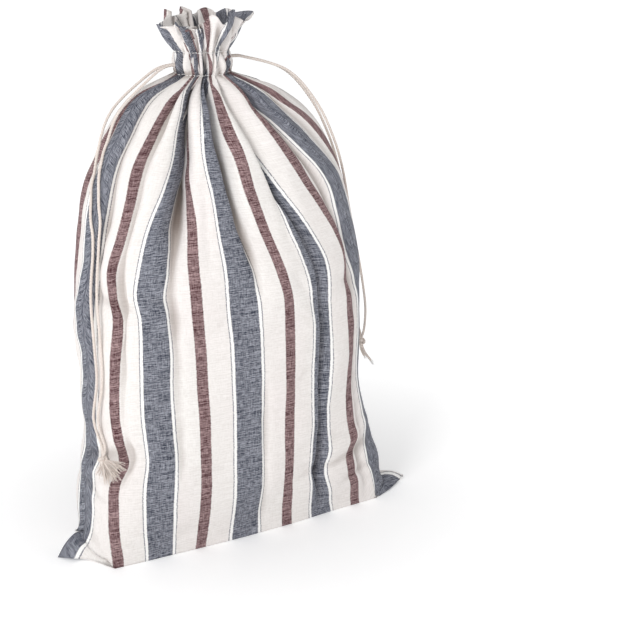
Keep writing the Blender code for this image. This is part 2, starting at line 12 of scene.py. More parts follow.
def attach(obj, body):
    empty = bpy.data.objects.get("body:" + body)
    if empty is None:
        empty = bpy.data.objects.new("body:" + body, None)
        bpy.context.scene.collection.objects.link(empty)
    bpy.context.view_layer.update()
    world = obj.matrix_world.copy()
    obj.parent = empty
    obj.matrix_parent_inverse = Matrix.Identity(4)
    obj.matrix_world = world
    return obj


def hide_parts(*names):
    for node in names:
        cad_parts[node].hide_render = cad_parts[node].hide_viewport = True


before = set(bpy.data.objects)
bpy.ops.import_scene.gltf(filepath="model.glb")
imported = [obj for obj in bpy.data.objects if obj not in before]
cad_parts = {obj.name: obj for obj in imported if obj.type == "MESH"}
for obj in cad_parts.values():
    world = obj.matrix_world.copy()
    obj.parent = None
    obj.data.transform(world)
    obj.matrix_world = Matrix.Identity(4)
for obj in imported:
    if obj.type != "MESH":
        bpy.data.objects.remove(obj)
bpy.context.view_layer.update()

MM = 0.001
TAU = 2.0 * math.pi


def table(columns, *rows):
    """Rows with named columns."""
    row = namedtuple("row", columns)
    return [row(*values) for values in rows]


# Bag sizes in millimetres, as in the CAD frame. CENTRE is the middle of the bag's footprint.
FLAT_WIDTH = 308.0
ROUND = 2.0 * FLAT_WIDTH
STRIPE_PERIOD = FLAT_WIDTH / 4.0
CENTRE = np.array([4.314, 15.632])
BODY_HALF_WIDTH = 122.0
BODY_HALF_DEPTH = 55.0
BODY_SET_BACK = 19.0
NECK_HEIGHT = 371.0
NECK_RADIUS = 23.0
NECK_MIDDLE = np.array([-10.0, 21.0])
CHANNEL_HEIGHT = 17.0
HEADER_HEIGHT = 25.0
HEADER_RADIUS = 33.0
BASE_DEPTH = 35.0
BASE_INSET = 14.0
CORE_RADIUS = 12.5
CORD_RING_RADIUS = 13.8
MOUTH_RADIUS = 8.0
CLOTH_THICKNESS = 0.8
HEM_THICKNESS = 0.6
CORD_DIAMETER = 2.4
KNOT_DIAMETER = 7.4

# Mesh fineness, with the low rows up to LOW_HEIGHT, and points round an outline
COLUMNS = 296
LOW_ROWS = 26
LOW_HEIGHT = 60.0
BODY_ROWS = 138
CHANNEL_ROWS = 8
HEADER_ROWS = 15
FINE = 1440

# The outline above the base, with the CAD's shares.
SECTIONS = table(
    "height width depth squareness back lean",
    (0.000, 1.115, 0.300, 3.4, 0.05, 0.00),
    (0.100, 1.115, 0.700, 3.0, 0.30, 0.00),
    (0.180, 1.060, 0.850, 2.7, 0.55, 0.00),
    (0.280, 1.000, 0.950, 2.5, 0.75, 0.00),
    (0.400, 1.005, 1.000, 2.4, 0.90, 0.00),
    (0.520, 1.000, 1.000, 2.4, 1.00, 0.02),
    (0.620, 0.970, 0.960, 2.3, 1.00, 0.06),
    (0.700, 0.930, 0.880, 2.2, 1.00, 0.12),
    (0.780, 0.860, 0.800, 2.1, 1.00, 0.22),
    (0.840, 0.760, 0.710, 2.0, 1.00, 0.35),
    (0.890, 0.650, 0.610, 2.0, 1.00, 0.50),
    (0.935, 0.500, 0.480, 2.0, 1.00, 0.70),
    (0.970, 0.330, 0.330, 2.0, 1.00, 0.88),
    (1.000, 0.000, 0.000, 2.0, 1.00, 1.00),
)

# Where the stripes' middles lie round the outline at each height, as shares of its length.
STRIPE_CLOTH = (-38.5, 0.0, 38.5, 77.0, 115.5, 154.0, 192.5, 231.0, 269.5, 308.0, 346.5, 462.0)
STRIPES = "red0 blue1 red1 blue2 red2 blue3 red3 blue4 red4 blue5 red5 back"
WARPS = table(
    f"height {STRIPES}",
    (0.00, -0.062, 0.000, 0.060, 0.122, 0.183, 0.244, 0.302, 0.356, 0.408, 0.460, 0.530, 0.750),
    (0.05, -0.062, 0.004, 0.057, 0.121, 0.183, 0.243, 0.301, 0.354, 0.407, 0.458, 0.530, 0.750),
    (0.11, -0.062, 0.010, 0.060, 0.120, 0.182, 0.242, 0.299, 0.350, 0.397, 0.447, 0.530, 0.750),
    (0.17, -0.060, 0.010, 0.060, 0.120, 0.182, 0.242, 0.301, 0.357, 0.411, 0.461, 0.532, 0.750),
    (0.22, -0.058, 0.014, 0.070, 0.120, 0.181, 0.243, 0.302, 0.360, 0.413, 0.465, 0.535, 0.750),
    (0.27, -0.054, 0.008, 0.062, 0.118, 0.180, 0.244, 0.304, 0.362, 0.416, 0.468, 0.537, 0.750),
    (0.32, -0.050, 0.010, 0.058, 0.117, 0.180, 0.245, 0.307, 0.365, 0.419, 0.470, 0.540, 0.750),
    (0.43, -0.040, 0.018, 0.064, 0.119, 0.179, 0.244, 0.308, 0.370, 0.420, 0.470, 0.540, 0.750),
    (0.53, -0.030, 0.021, 0.070, 0.119, 0.176, 0.241, 0.307, 0.367, 0.419, 0.462, 0.530, 0.750),
    (0.58, -0.025, 0.024, 0.062, 0.114, 0.174, 0.239, 0.299, 0.363, 0.418, 0.452, 0.525, 0.745),
    (0.63, -0.020, 0.027, 0.060, 0.119, 0.172, 0.236, 0.291, 0.352, 0.414, 0.445, 0.520, 0.740),
    (0.70, -0.016, 0.031, 0.070, 0.127, 0.172, 0.227, 0.277, 0.335, 0.393, 0.437, 0.500, 0.735),
    (0.77, -0.014, 0.033, 0.079, 0.139, 0.168, 0.221, 0.264, 0.319, 0.367, 0.432, 0.485, 0.730),
    (0.84, -0.012, 0.030, 0.082, 0.150, 0.163, 0.216, 0.256, 0.305, 0.348, 0.405, 0.465, 0.730),
    (0.90, -0.010, 0.035, 0.092, 0.153, 0.161, 0.213, 0.243, 0.287, 0.332, 0.378, 0.440, 0.730),
    (0.95, -0.025, 0.026, 0.097, 0.152, 0.159, 0.211, 0.240, 0.281, 0.325, 0.358, 0.412, 0.720),
    (1.00, -0.040, 0.020, 0.100, 0.147, 0.156, 0.209, 0.240, 0.290, 0.330, 0.366, 0.414, 0.720),
    (1.05, -0.070, 0.000, 0.075, 0.128, 0.150, 0.190, 0.222, 0.310, 0.370, 0.420, 0.470, 0.730),
    (1.12, -0.120, -0.025, 0.045, 0.105, 0.136, 0.165, 0.197, 0.335, 0.415, 0.470, 0.520, 0.740),
)

# Gathers below the neck, and the header's frills: where on the cloth, the width of their mouth in
# millimetres, how far the bottom slants round the bag for its depth, and how strong they are.
FOLDS = table(
    "cloth mouth slant gain",
    (14, 4.5, 0.3, 1),
    (44, 4, 0.9, 1.2),
    (94, 6.6, 0.25, 1.9),
    (170, 3.6, -0.3, 1.3),
    (231, 4, -1.1, 1.4),
    (286, 4, -0.6, 1.2),
    (333, 8, 0, 1),
    (385, 8, 0.2, 1),
    (437, 8, -0.2, 1),
    (489, 8, 0.2, 1),
    (541, 8, -0.2, 1),
    (585, 8, 0, 1),
)
FRILLS = table(
    "cloth mouth slant gain",
    (16, 3, 0.3, 0.8),
    (38.5, 4, 0.5, 1.1),
    (60, 2.6, -0.3, 0.7),
    (94, 3.2, 0.4, 1.2),
    (128, 2.6, -0.3, 1),
    (154, 3.2, 0.3, 1.2),
    (177, 3, -0.2, 1),
    (210, 3.2, 0.3, 1),
    (244, 3.6, -0.4, 0.9),
    (275, 4, 0.2, 0.8),
    (315, 5, 0, 0.9),
    (350, 4, 0.3, 0.8),
    (390, 5, -0.3, 0.9),
    (430, 5, 0.3, 0.9),
    (472, 5, 0, 0.9),
    (512, 5, -0.3, 0.9),
    (552, 5, 0.2, 0.9),
    (590, 4, -0.2, 0.8),
)
PLEATS = 32
PLEAT_DEPTH = 6.5

# Broad dents of the filled body: place and height as shares, spans as shares of the flat width,
# depth as a share of the body's half depth.
DENTS = table(
    "place height span_round span_up depth",
    (0.000, 0.10, 0.08, 0.09, 0.070),
    (0.985, 0.26, 0.07, 0.07, 0.060),
    (0.010, 0.40, 0.07, 0.08, 0.050),
    (0.500, 0.27, 0.09, 0.13, 0.100),
    (0.100, 0.47, 0.12, 0.12, -0.050),
    (0.180, 0.34, 0.12, 0.14, 0.045),
    (0.400, 0.20, 0.10, 0.12, 0.050),
    (0.300, 0.60, 0.12, 0.12, -0.045),
    (0.700, 0.35, 0.14, 0.16, 0.050),
    (0.860, 0.55, 0.12, 0.12, -0.045),
)

# Creases (positive) and ridges (negative): from one place on the cloth to another, in millimetres
# round and up, with their depth and half width.
CREASES = table(
    "cloth up to_cloth to_up depth width",
    (-6, 84, 44, 92, 2.4, 6),
    (-6, 70, 40, 77, -2.2, 5),
    (4, 60, 30, 52, 1.6, 5),
    (10, 214, 62, 205, 2, 7),
    (50, 222, 88, 210, 1.6, 8),
    (232, 44, 300, 56, 2.4, 6),
    (246, 58, 306, 72, -2, 6),
    (262, 30, 300, 36, 2, 4),
    (196, 40, 236, 50, 1.5, 7),
    (256, 205, 300, 190, 1.8, 8),
    (206, 214, 226, 176, 1.4, 6),
    (128, 236, 134, 300, 1.2, 5),
    (212, 236, 224, 310, 1.6, 6),
    (62, 250, 66, 320, 1.4, 5),
    (330, 90, 400, 120, 2, 9),
    (420, 160, 500, 140, 1.8, 10),
    (540, 80, 600, 60, 2, 8),
    (470, 230, 520, 210, 2, 9),
)

# How the header's edge stands: where it flares and rises.
FLAPS = table(
    "place flare rise",
    (0.00, 1.15, -0.25),
    (0.06, 0.85, -0.05),
    (0.12, 1.05, 0.02),
    (0.17, 0.60, -0.12),
    (0.22, 0.95, 0.08),
    (0.27, 0.70, 0.00),
    (0.33, 1.00, 0.16),
    (0.40, 0.85, 0.02),
    (0.46, 1.25, 0.06),
    (0.53, 1.20, -0.12),
    (0.60, 0.80, 0.10),
    (0.68, 1.05, 0.00),
    (0.75, 0.75, 0.12),
    (0.82, 1.00, -0.05),
    (0.90, 0.85, 0.06),
    (1.00, 1.15, -0.25),
)

# Where the header's edge curls over outwards, as places and shares of a full curl.
CURLS = table(
    "place half_width turn",
    (0.015, 0.030, 0.55),
    (0.125, 0.030, 1.00),
    (0.255, 0.025, 0.50),
    (0.430, 0.035, 0.70),
    (0.700, 0.040, 0.60),
)
CURL_START = 0.55
FULL_CURL = 2.6

# The cloth's lowest edge: millimetres round the cloth from the left seam, then X, Y and height.
BASE_EDGE = table(
    "cloth x y z",
    (0, -153, 5, 0.3),
    (10, -146, -8, 3.5),
    (19, -136.5, -17.5, 5),
    (27, -128.5, -26, 3),
    (35, -120, -34, 0),
    (60, -97, -34.5, 0),
    (116, -47, -34.5, 0),
    (154, -7, -34, 0),
    (200, 40, -31, 0),
    (250, 83, -26, 0),
    (293, 123, -23, 0),
    (308, 142, -15, 1.5),
    (324, 166, 1.5, 2),
    (338, 153, 13, 2),
    (352, 137, 25, 0),
    (370, 118, 32, 0),
    (450, 40, 37, 0),
    (540, -52, 37, 0),
    (581, -116, 35, 0),
    (597, -134, 22, 4),
    (616, -153, 5, 0.3),
)

# The two corner ears: the middle and half width on the cloth, and how high the crease above starts.
EARS = table("cloth half_width root_height", (0.0, 35.0, 20.0), (323.0, 30.0, 13.0))
TUCK = 4.0
EAR_ROOT = (92.0, 5.0)

# The wall is drawn to its lowest edge up to EDGE_PULL, and up to ROOT_PULL above the ears' creases.
EDGE_PULL = 70.0
ROOT_PULL = 14.0

# The four cord tails: the points that the CAD tubes follow, in millimetres in the CAD frame.
TAILS = {
    "left_tail_front": (
        (-37.3, 3.9, 377.9), (-43.3, 3.9, 377.9), (-55.9, 1.3, 372.6), (-86.5, -2.1, 347.7),
        (-98.9, -4.5, 319.6), (-106.0, -8.8, 289.8), (-111.7, -15.0, 253.0), (-118.3, -23.3, 215.6),
        (-118.9, -27.5, 178.1), (-118.8, -27.1, 148.4), (-121.8, -23.5, 122.5), (-123.0, -22.5, 107.7),
        (-123.3, -26.7, 95.1), (-127.2, -28.3, 88.9),
    ),
    "left_tail_back": (
        (-37.3, 6.9, 377.9), (-43.3, 6.9, 377.9), (-56.5, 8.2, 372.7), (-89.0, 5.5, 348.2),
        (-103.6, -0.5, 320.0), (-110.9, -6.4, 289.8), (-114.7, -12.1, 252.9), (-121.5, -18.8, 215.7),
        (-122.3, -22.8, 178.1), (-121.6, -22.8, 148.4), (-124.0, -19.0, 122.5), (-124.9, -17.8, 107.7),
        (-125.4, -22.5, 95.1), (-127.2, -25.3, 88.9),
    ),
    "right_tail_front": (
        (8.7, 3.9, 381.1), (14.7, 3.9, 381.1), (18.0, 3.4, 380.6), (56.3, 1.7, 367.3),
        (81.7, 1.2, 340.3), (97.2, 1.1, 310.6), (106.8, 2.4, 283.1), (113.3, 3.6, 252.7),
        (118.7, 2.3, 223.0), (124.1, 0.8, 193.2), (127.7, -1.1, 162.9), (127.3, -1.4, 141.6),
        (125.1, -0.5, 133.0),
    ),
    "right_tail_back": (
        (8.7, 6.9, 381.1), (14.7, 6.9, 381.1), (18.0, 7.4, 380.6), (56.3, 8.4, 367.3),
        (81.6, 8.8, 340.3), (97.1, 8.7, 310.7), (106.8, 9.5, 282.9), (112.5, 11.8, 252.7),
        (115.4, 16.8, 222.9), (117.3, 19.3, 193.0), (120.5, 13.6, 163.1), (124.4, 4.9, 141.9),
        (125.1, 2.5, 133.0),
    ),
}
# The knots' middles. The left one lies 6 mm from the CAD's, towards the front.
KNOTS = {"left": (-122.2, -29.8, 83.8), "right": (125.1, 1.0, 129.0)}


# ---- numbers ----


def smooth_step(value):
    value = np.clip(value, 0.0, 1.0)
    return value * value * (3.0 - 2.0 * value)


def eased(rows, key, names, at):
    """The named columns of a table at a place between its rows, on a smooth curve."""
    keys = [getattr(row, key) for row in rows]
    at = min(max(at, keys[0]), keys[-1])
    i = max(k for k in range(len(rows) - 1) if keys[k] <= at)
    span = keys[i + 1] - keys[i]
    t = (at - keys[i]) / span
    found = []
    for name in names:
        a, b = getattr(rows[i], name), getattr(rows[i + 1], name)
        before, after = max(i - 1, 0), min(i + 2, len(rows) - 1)
        rise_a = (b - getattr(rows[before], name)) / (keys[i + 1] - keys[before]) * span
        rise_b = (getattr(rows[after], name) - a) / (keys[after] - keys[i]) * span
        found.append(
            (2 * t**3 - 3 * t**2 + 1) * a
            + (t**3 - 2 * t**2 + t) * rise_a
            + (3 * t**2 - 2 * t**3) * b
            + (t**3 - t**2) * rise_b
        )
    return found


def wrapped(a, b):
    """The signed share of a turn from b to a."""
    return (a - b + 0.5) % 1.0 - 0.5


def superellipse(half_width, half_depth, squareness, places):
    """Points and outward normals at shares of the outline's length, from -X along -Y."""
    turn = np.linspace(0.0, TAU, FINE + 1)
    c, s = -np.cos(turn), -np.sin(turn)
    x = half_width * np.sign(c) * np.abs(c) ** (2.0 / squareness)
    y = half_depth * np.sign(s) * np.abs(s) ** (2.0 / squareness)
    along = np.concatenate([[0.0], np.cumsum(np.hypot(np.diff(x), np.diff(y)))])
    at = places % 1.0 * along[-1]
    step = along[-1] / 400.0
    points = np.stack([np.interp(at, along, x), np.interp(at, along, y)], 1)
    ahead, back = (at + step) % along[-1], (at - step) % along[-1]
    dx = np.interp(ahead, along, x) - np.interp(back, along, x)
    dy = np.interp(ahead, along, y) - np.interp(back, along, y)
    length = np.hypot(dx, dy)
    return points, np.stack([dy, -dx], 1) / length[:, None], along[-1]


def warp(share):
    """Cloth places and the outline places they take at a height, over more than a turn."""
    found = np.array(eased(WARPS, "height", STRIPES.split(), share))
    cloth = np.array(STRIPE_CLOTH) / ROUND
    turns = (-1.0, 0.0, 1.0)
    return np.concatenate([cloth + k for k in turns]), np.concatenate([found + k for k in turns])


def gathers(folds, places, share, length, room):
    """How far the cloth lies in, and how far it slants round, at places on an outline of this length."""
    cloth, at = warp(share)
    middles = np.array([fold.cloth / ROUND for fold in folds])
    before, after = np.roll(middles, 1), np.roll(middles, -1)
    before[0] -= 1.0
    after[-1] += 1.0
    inwards, slant = np.zeros(len(places)), np.zeros(len(places))
    lows, highs = (before + middles) / 2.0, (after + middles) / 2.0
    for fold, middle, low, high in zip(folds, middles, lows, highs, strict=True):
        span = np.interp(high, cloth, at) - np.interp(low, cloth, at)
        slack = (high - low) * ROUND - span * length
        mouth = min(fold.mouth, 0.22 * span * length)
        depth = np.clip(0.5 * slack * fold.gain, 0.0, room)
        away = np.abs(wrapped(places, np.interp(middle, cloth, at))) * length / mouth
        lie = depth * np.exp(-(away**1.4))
        inwards += lie
        slant += lie * fold.slant
    return inwards, slant


def dent_depth(places, share):
    """How far the broad dents press the body in."""
    total = np.zeros(len(places))
    for dent in DENTS:
        across = wrapped(places, dent.place) * 2.0 / dent.span_round
        up = (share - dent.height) * NECK_HEIGHT / (dent.span_up * FLAT_WIDTH)
        total += dent.depth * BODY_HALF_DEPTH * np.exp(-(across**2 + up * up))
    return total


def pleat_wave(places):
    """Small uneven pleats round the neck, 0 at their round crests and up to 1 in the sharp valleys."""
    drift = 0.9 * np.sin(TAU * (3.0 * places + 0.13)) + 0.7 * np.sin(TAU * (7.0 * places + 0.6))
    size = 0.7 + 0.3 * np.sin(TAU * (5.0 * places + 0.3))
    return size * (1.0 - np.abs(np.sin(math.pi * PLEATS * places + 0.5 * drift)))


def folded_outline(share):
    """The folded outline at a share of the neck's height, finely, as X, Y and height."""
    places = np.arange(FINE) / FINE
    wide, deep, squareness, back, lean = eased(
        SECTIONS, "height", ("width", "depth", "squareness", "back", "lean"), share
    )
    half_width = NECK_RADIUS + wide * (BODY_HALF_WIDTH - NECK_RADIUS)
    half_depth = NECK_RADIUS + deep * (BODY_HALF_DEPTH - NECK_RADIUS)
    points, normals, length = superellipse(half_width, half_depth, squareness, places)
    room = 0.8 * (min(half_width, half_depth) - CORE_RADIUS)
    inwards, slant = gathers(FOLDS, places, share, length, room)
    inwards += dent_depth(places, share)
    inwards += PLEAT_DEPTH * smooth_step((share - 0.86) / 0.14) ** 2 * pleat_wave(places)
    tangents = np.stack([-normals[:, 1], normals[:, 0]], 1)
    points = points - normals * inwards[:, None] + tangents * slant[:, None]
    middle = np.array([0.0, BODY_SET_BACK * back])
    points += middle + (NECK_MIDDLE - middle) * lean
    return np.column_stack([points, np.full(FINE, share * NECK_HEIGHT)])


def curled_over(places, header):
    """How far the header's cloth goes out, and how much height it loses, where its edge curls over."""
    turn = sum(curl.turn * np.exp(-((wrapped(places, curl.place) / curl.half_width) ** 2)) for curl in CURLS)
    beyond = max(header - CURL_START, 0.0) * HEADER_HEIGHT
    bend = np.maximum(FULL_CURL * turn * beyond / ((1.0 - CURL_START) * HEADER_HEIGHT), 1e-4)
    return beyond * (1.0 - np.cos(bend)) / bend, beyond * (1.0 - np.sin(bend) / bend)


def frilled_outline(share):
    """The outline above the neck: the stitched channel and the flared header."""
    places = np.arange(FINE) / FINE
    height = share * NECK_HEIGHT
    channel = min((height - NECK_HEIGHT) / CHANNEL_HEIGHT, 1.0)
    header = max((height - NECK_HEIGHT - CHANNEL_HEIGHT) / HEADER_HEIGHT, 0.0)
    keys = np.linspace(0.0, 1.0, 241)
    edge = np.array([eased(FLAPS, "place", ("flare", "rise"), key) for key in keys])
    flare, rise = np.interp(places, keys, edge[:, 0]), np.interp(places, keys, edge[:, 1])
    swell = 1.0 + 0.07 * math.sin(math.pi * channel) if header == 0.0 else 1.0
    radius = NECK_RADIUS * swell + (HEADER_RADIUS - NECK_RADIUS) * flare * math.sin(header * math.pi / 2.0)
    length = TAU * radius.mean()
    turn = TAU * places
    normals = np.stack([-np.cos(turn), -np.sin(turn)], 1)
    tangents = np.stack([-normals[:, 1], normals[:, 0]], 1)
    part = float(smooth_step(0.35 * channel + 0.9 * header))
    low_in, low_slant = gathers(FOLDS, places, share, length, 0.8 * (NECK_RADIUS - CORE_RADIUS))
    high_in, high_slant = gathers(FRILLS, places, share, length, 8.0 + 4.5 * header)
    inwards = low_in * (1.0 - part) + high_in * part
    slant = low_slant * (1.0 - part) + high_slant * part
    inwards = inwards + PLEAT_DEPTH * (1.0 - 0.6 * header) * pleat_wave(places)
    inwards = np.minimum(inwards, radius - CORD_RING_RADIUS)
    out, lost = curled_over(places, header)
    points = NECK_MIDDLE + normals * (radius - inwards + out)[:, None] + tangents * slant[:, None]
    flop = 0.12 * np.sin(TAU * (9.0 * places + 0.2)) * header
    return np.column_stack([points, height + HEADER_HEIGHT * header * (rise + flop) - lost])


def spread_cloth(share, cloth):
    """Points of the outline at millimetres round the cloth, by its length between the stripes."""
    outline = folded_outline(share) if share <= 1.0 else frilled_outline(share)
    closed = np.vstack([outline, outline[:1]])
    along = np.concatenate([[0.0], np.cumsum(np.linalg.norm(np.diff(closed, axis=0), axis=1))])
    knots, at = warp(share)
    places = np.arange(FINE + 1) / FINE
    at_knots = np.interp(at % 1.0, places, along) + np.floor(at) * along[-1]
    wanted = np.interp(cloth / ROUND, knots, at_knots) % along[-1]
    return np.stack([np.interp(wanted, along, closed[:, k]) for k in range(3)], 1)


def column_cloth():
    return np.arange(COLUMNS) * ROUND / COLUMNS


def base_points(cloth):
    """The cloth's lowest edge, at millimetres round the cloth."""
    keys = [row.cloth for row in BASE_EDGE]
    return np.stack([np.interp(cloth, keys, [row[k] for row in BASE_EDGE]) for k in (1, 2, 3)], 1)


def crease_share(cloth):
    """How far up towards its root height an ear's crease lies, and that height."""
    share, height = np.zeros(len(cloth)), np.zeros(len(cloth))
    for ear in EARS:
        away = np.abs(wrapped(cloth / ROUND, ear.cloth / ROUND)) * ROUND
        near = np.clip(1.0 - away / ear.half_width, 0.0, 1.0)
        share = np.maximum(share, near)
        height = np.maximum(height, near**0.85 * ear.root_height)
    return share, height


def wall_points(cloth, heights):
    """Points of the wall at one height for each column."""
    levels = np.linspace(heights.min(), heights.max() + 0.001, 8)
    rings = np.array([spread_cloth(level / NECK_HEIGHT, cloth) for level in levels])
    found = [[np.interp(h, levels, rings[:, c, axis]) for c, h in enumerate(heights)] for axis in range(2)]
    return np.column_stack([*found, heights])


def low_rows(cloth):
    """The rows from the lowest edge up past the ears' creases."""
    edge = base_points(cloth)
    near, crease = crease_share(cloth)
    used = 0.5 * near
    at_crease = wall_points(cloth, crease)
    hold = np.clip(1.0 - near * 3.0, 0.0, 1.0)
    reach, middle = EAR_ROOT
    root = [np.clip(at_crease[:, 0], -reach, reach), np.full(len(cloth), middle)]
    side = at_crease[:, :2] - np.column_stack(root)
    side /= np.linalg.norm(side, axis=1)[:, None]
    rows = []
    for k in range(LOW_ROWS):
        v = k / LOW_ROWS
        height = crease + (LOW_HEIGHT - crease) * np.clip((v - used) / (1.0 - used), 0.0, 1.0) ** 1.25
        points = wall_points(cloth, height)
        settle = hold * np.clip(1.0 - height / EDGE_PULL, 0.0, 1.0) ** 2
        at_root = (1.0 - hold) * np.clip(1.0 - (height - crease) / ROOT_PULL, 0.0, 1.0) ** 2 * (1.0 - near)
        points[:, :2] += (edge[:, :2] - points[:, :2]) * np.maximum(settle, at_root)[:, None]
        q = np.clip(1.0 - v / np.maximum(used, 1e-6), 0.0, 1.0)
        in_ear = v < used
        out = at_crease[:, :2] + (edge[:, :2] - at_crease[:, :2]) * q[:, None]
        out -= side * (TUCK * np.exp(-((q / 0.3) ** 2)) * np.minimum(near * 3.0, 1.0))[:, None]
        arch = 2.6 * np.sin(math.pi * np.clip(q * 1.1, 0.0, 1.0)) * np.minimum(near * 2.0, 1.0)
        rise = at_crease[:, 2] + (edge[:, 2] - at_crease[:, 2]) * q**2.2 + arch * (1.0 - near * 0.6)
        points[in_ear, :2] = out[in_ear]
        points[in_ear, 2] = rise[in_ear]
        rows.append(points)
    return rows


def cloth_grid():
    """The bag's outer skin as rows of points, from the lowest edge to the header's edge."""
    cloth = column_cloth()
    edge = base_points(cloth)
    hold = np.clip(1.0 - crease_share(cloth)[0] * 3.0, 0.0, 1.0)
    rows = low_rows(cloth)
    upper = BODY_ROWS - LOW_ROWS
    for k in range(upper + 1):
        height = LOW_HEIGHT + (NECK_HEIGHT - LOW_HEIGHT) * k / upper
        ring = spread_cloth(min(height / NECK_HEIGHT, 1.0), cloth)
        settle = np.clip(1.0 - height / EDGE_PULL, 0.0, 1.0) ** 2 * hold
        ring[:, :2] += (edge[:, :2] - ring[:, :2]) * settle[:, None]
        rows.append(ring)
    base = NECK_HEIGHT + CHANNEL_HEIGHT
    top = [NECK_HEIGHT + CHANNEL_HEIGHT * k / CHANNEL_ROWS for k in range(1, CHANNEL_ROWS + 1)]
    top += [base + HEADER_HEIGHT * k / HEADER_ROWS for k in range(1, HEADER_ROWS + 1)]
    rows += [spread_cloth(height / NECK_HEIGHT, cloth) for height in top]
    return np.array(rows)


def grid_normals(grid):
    """Outward normals of a grid of points that closes on itself round the bag."""
    round_it = np.roll(grid, -1, axis=1) - np.roll(grid, 1, axis=1)
    normals = np.cross(round_it, np.gradient(grid, axis=0))
    return normals / np.maximum(np.linalg.norm(normals, axis=2), 1e-9)[..., None]


# Waves over the cloth by chance: their size and their depth in millimetres, and how many.
UNEVENNESS = ((60.0, 0.9, 10), (22.0, 0.28, 14))


def creased(grid):
    """The grid with its creases, ridges and a slight unevenness pressed into it."""
    cloth = column_cloth()[None, :]
    up = grid[..., 2]
    inwards = np.zeros(up.shape)
    for c in CREASES:
        run = np.array([c.to_cloth - c.cloth, c.to_up - c.up])
        across = wrapped(cloth / ROUND, c.cloth / ROUND) * ROUND
        t = np.clip((across * run[0] + (up - c.up) * run[1]) / (run @ run), 0.0, 1.0)
        away = np.hypot(across - t * run[0], up - c.up - t * run[1])
        inwards += c.depth * (0.6 + 0.4 * np.sin(math.pi * t)) * np.exp(-((away / c.width) ** 2))
    chance = np.random.default_rng(7)
    for size, amount, count in UNEVENNESS:
        for _ in range(count):
            turns = round(chance.uniform(-1.0, 1.0) * ROUND / size)
            rate = chance.uniform(0.3, 1.0) * TAU / size
            phase = chance.uniform(0.0, TAU)
            wave = np.sin(TAU * turns * cloth / ROUND + rate * up + phase)
            inwards += amount / math.sqrt(count) * wave
    fade = smooth_step(up / 25.0) * (1.0 - smooth_step((up - NECK_HEIGHT + 6.0) / 10.0))
    return grid - grid_normals(grid) * (inwards * fade)[..., None]


# ---- objects ----


def link_object(name, data):
    made = bpy.data.objects.new(name, data)
    bpy.context.scene.collection.objects.link(made)
    return made


def to_world(points):
    """Millimetres in the cloth's own frame to metres in the CAD frame."""
    moved = np.array(points, float)
    moved[..., :2] -= CENTRE
    return moved * MM


def ring_faces(rows, start=0, flip=False):
    """Faces between rows of COLUMNS vertices."""
    faces = []
    for r in range(rows - 1):
        for c in range(COLUMNS):
            d = (c + 1) % COLUMNS
            low, high = start + r * COLUMNS, start + (r + 1) * COLUMNS
            face = (low + c, low + d, high + d, high + c)
            faces.append(face[::-1] if flip else face)
    return faces


# How firmly the wall and the header are held while the cloth settles, how much longer the cloth is
# than its shape, and how far, in metres, a point may move.
SOFT_HOLD = 0.03
HEADER_HOLD = 0.3
SLACK_ROUND = 1.015
SLACK_UP = 1.012
PRESSURE = 0.3
SETTLE_FRAMES = 12
MOST_MOVE = 0.006


def settled(grid):
    """The grid in metres after a cloth simulation. Neck, channel and lowest edge are held."""
    rows = len(grid)
    total = rows * COLUMNS
    mesh = bpy.data.meshes.new("settling_cloth")
    mesh.from_pydata(grid.reshape(-1, 3).tolist(), [], ring_faces(rows))
    mesh.update()
    sheet = link_object("settling_cloth", mesh)
    held = sheet.vertex_groups.new(name="held")
    low_end, neck_start = COLUMNS * 3, COLUMNS * BODY_ROWS
    neck_end = COLUMNS * (BODY_ROWS + CHANNEL_ROWS + 1)
    held.add([*range(low_end), *range(neck_start, neck_end)], 1.0, "REPLACE")
    held.add(list(range(low_end, neck_start)), SOFT_HOLD, "REPLACE")
    held.add(list(range(neck_end, total)), HEADER_HOLD, "REPLACE")
    sheet.shape_key_add(name="Basis")
    slack = sheet.shape_key_add(name="slack")
    longer = np.array([SLACK_ROUND, SLACK_ROUND, SLACK_UP])
    slack.data.foreach_set("co", (grid.reshape(-1, 3) * longer).ravel())
    slack.value = 0.0
    cloth = sheet.modifiers.new("cloth", "CLOTH")
    settings = cloth.settings
    settings.quality = 5
    settings.mass = 0.0002
    settings.tension_stiffness = 12.0
    settings.compression_stiffness = 8.0
    settings.shear_stiffness = 4.0
    settings.bending_stiffness = 0.02
    settings.air_damping = 4.0
    settings.vertex_group_mass = "held"
    settings.rest_shape_key = slack
    settings.use_pressure = True
    settings.uniform_pressure_force = PRESSURE
    cloth.collision_settings.use_collision = False
    cloth.collision_settings.use_self_collision = False
    cloth.point_cache.frame_start, cloth.point_cache.frame_end = 1, SETTLE_FRAMES
    scene = bpy.context.scene
    scene.frame_start, scene.frame_end = 1, SETTLE_FRAMES
    for number in range(1, SETTLE_FRAMES + 1):
        scene.frame_set(number)
    made = sheet.evaluated_get(bpy.context.evaluated_depsgraph_get()).to_mesh()
    co = np.zeros(total * 3)
    made.vertices.foreach_get("co", co)
    scene.frame_set(1)
    bpy.data.objects.remove(sheet)
    move = co.reshape(grid.shape) - grid
    far = np.linalg.norm(move, axis=2)
    return grid + move * np.minimum(1.0, MOST_MOVE / np.maximum(far, 1e-9))[..., None]


def cloth_heights(grid):
    """How far up the flat cloth each point lies: the edge's own place, then the length of each column."""
    near = np.min([np.abs(wrapped(column_cloth() / ROUND, seam)) * ROUND for seam in (0.0, 0.5)], axis=0)
    steps = np.linalg.norm(np.diff(grid, axis=0), axis=2)
    return np.minimum(near, BASE_DEPTH) + np.concatenate([np.zeros((1, COLUMNS)), np.cumsum(steps, axis=0)])


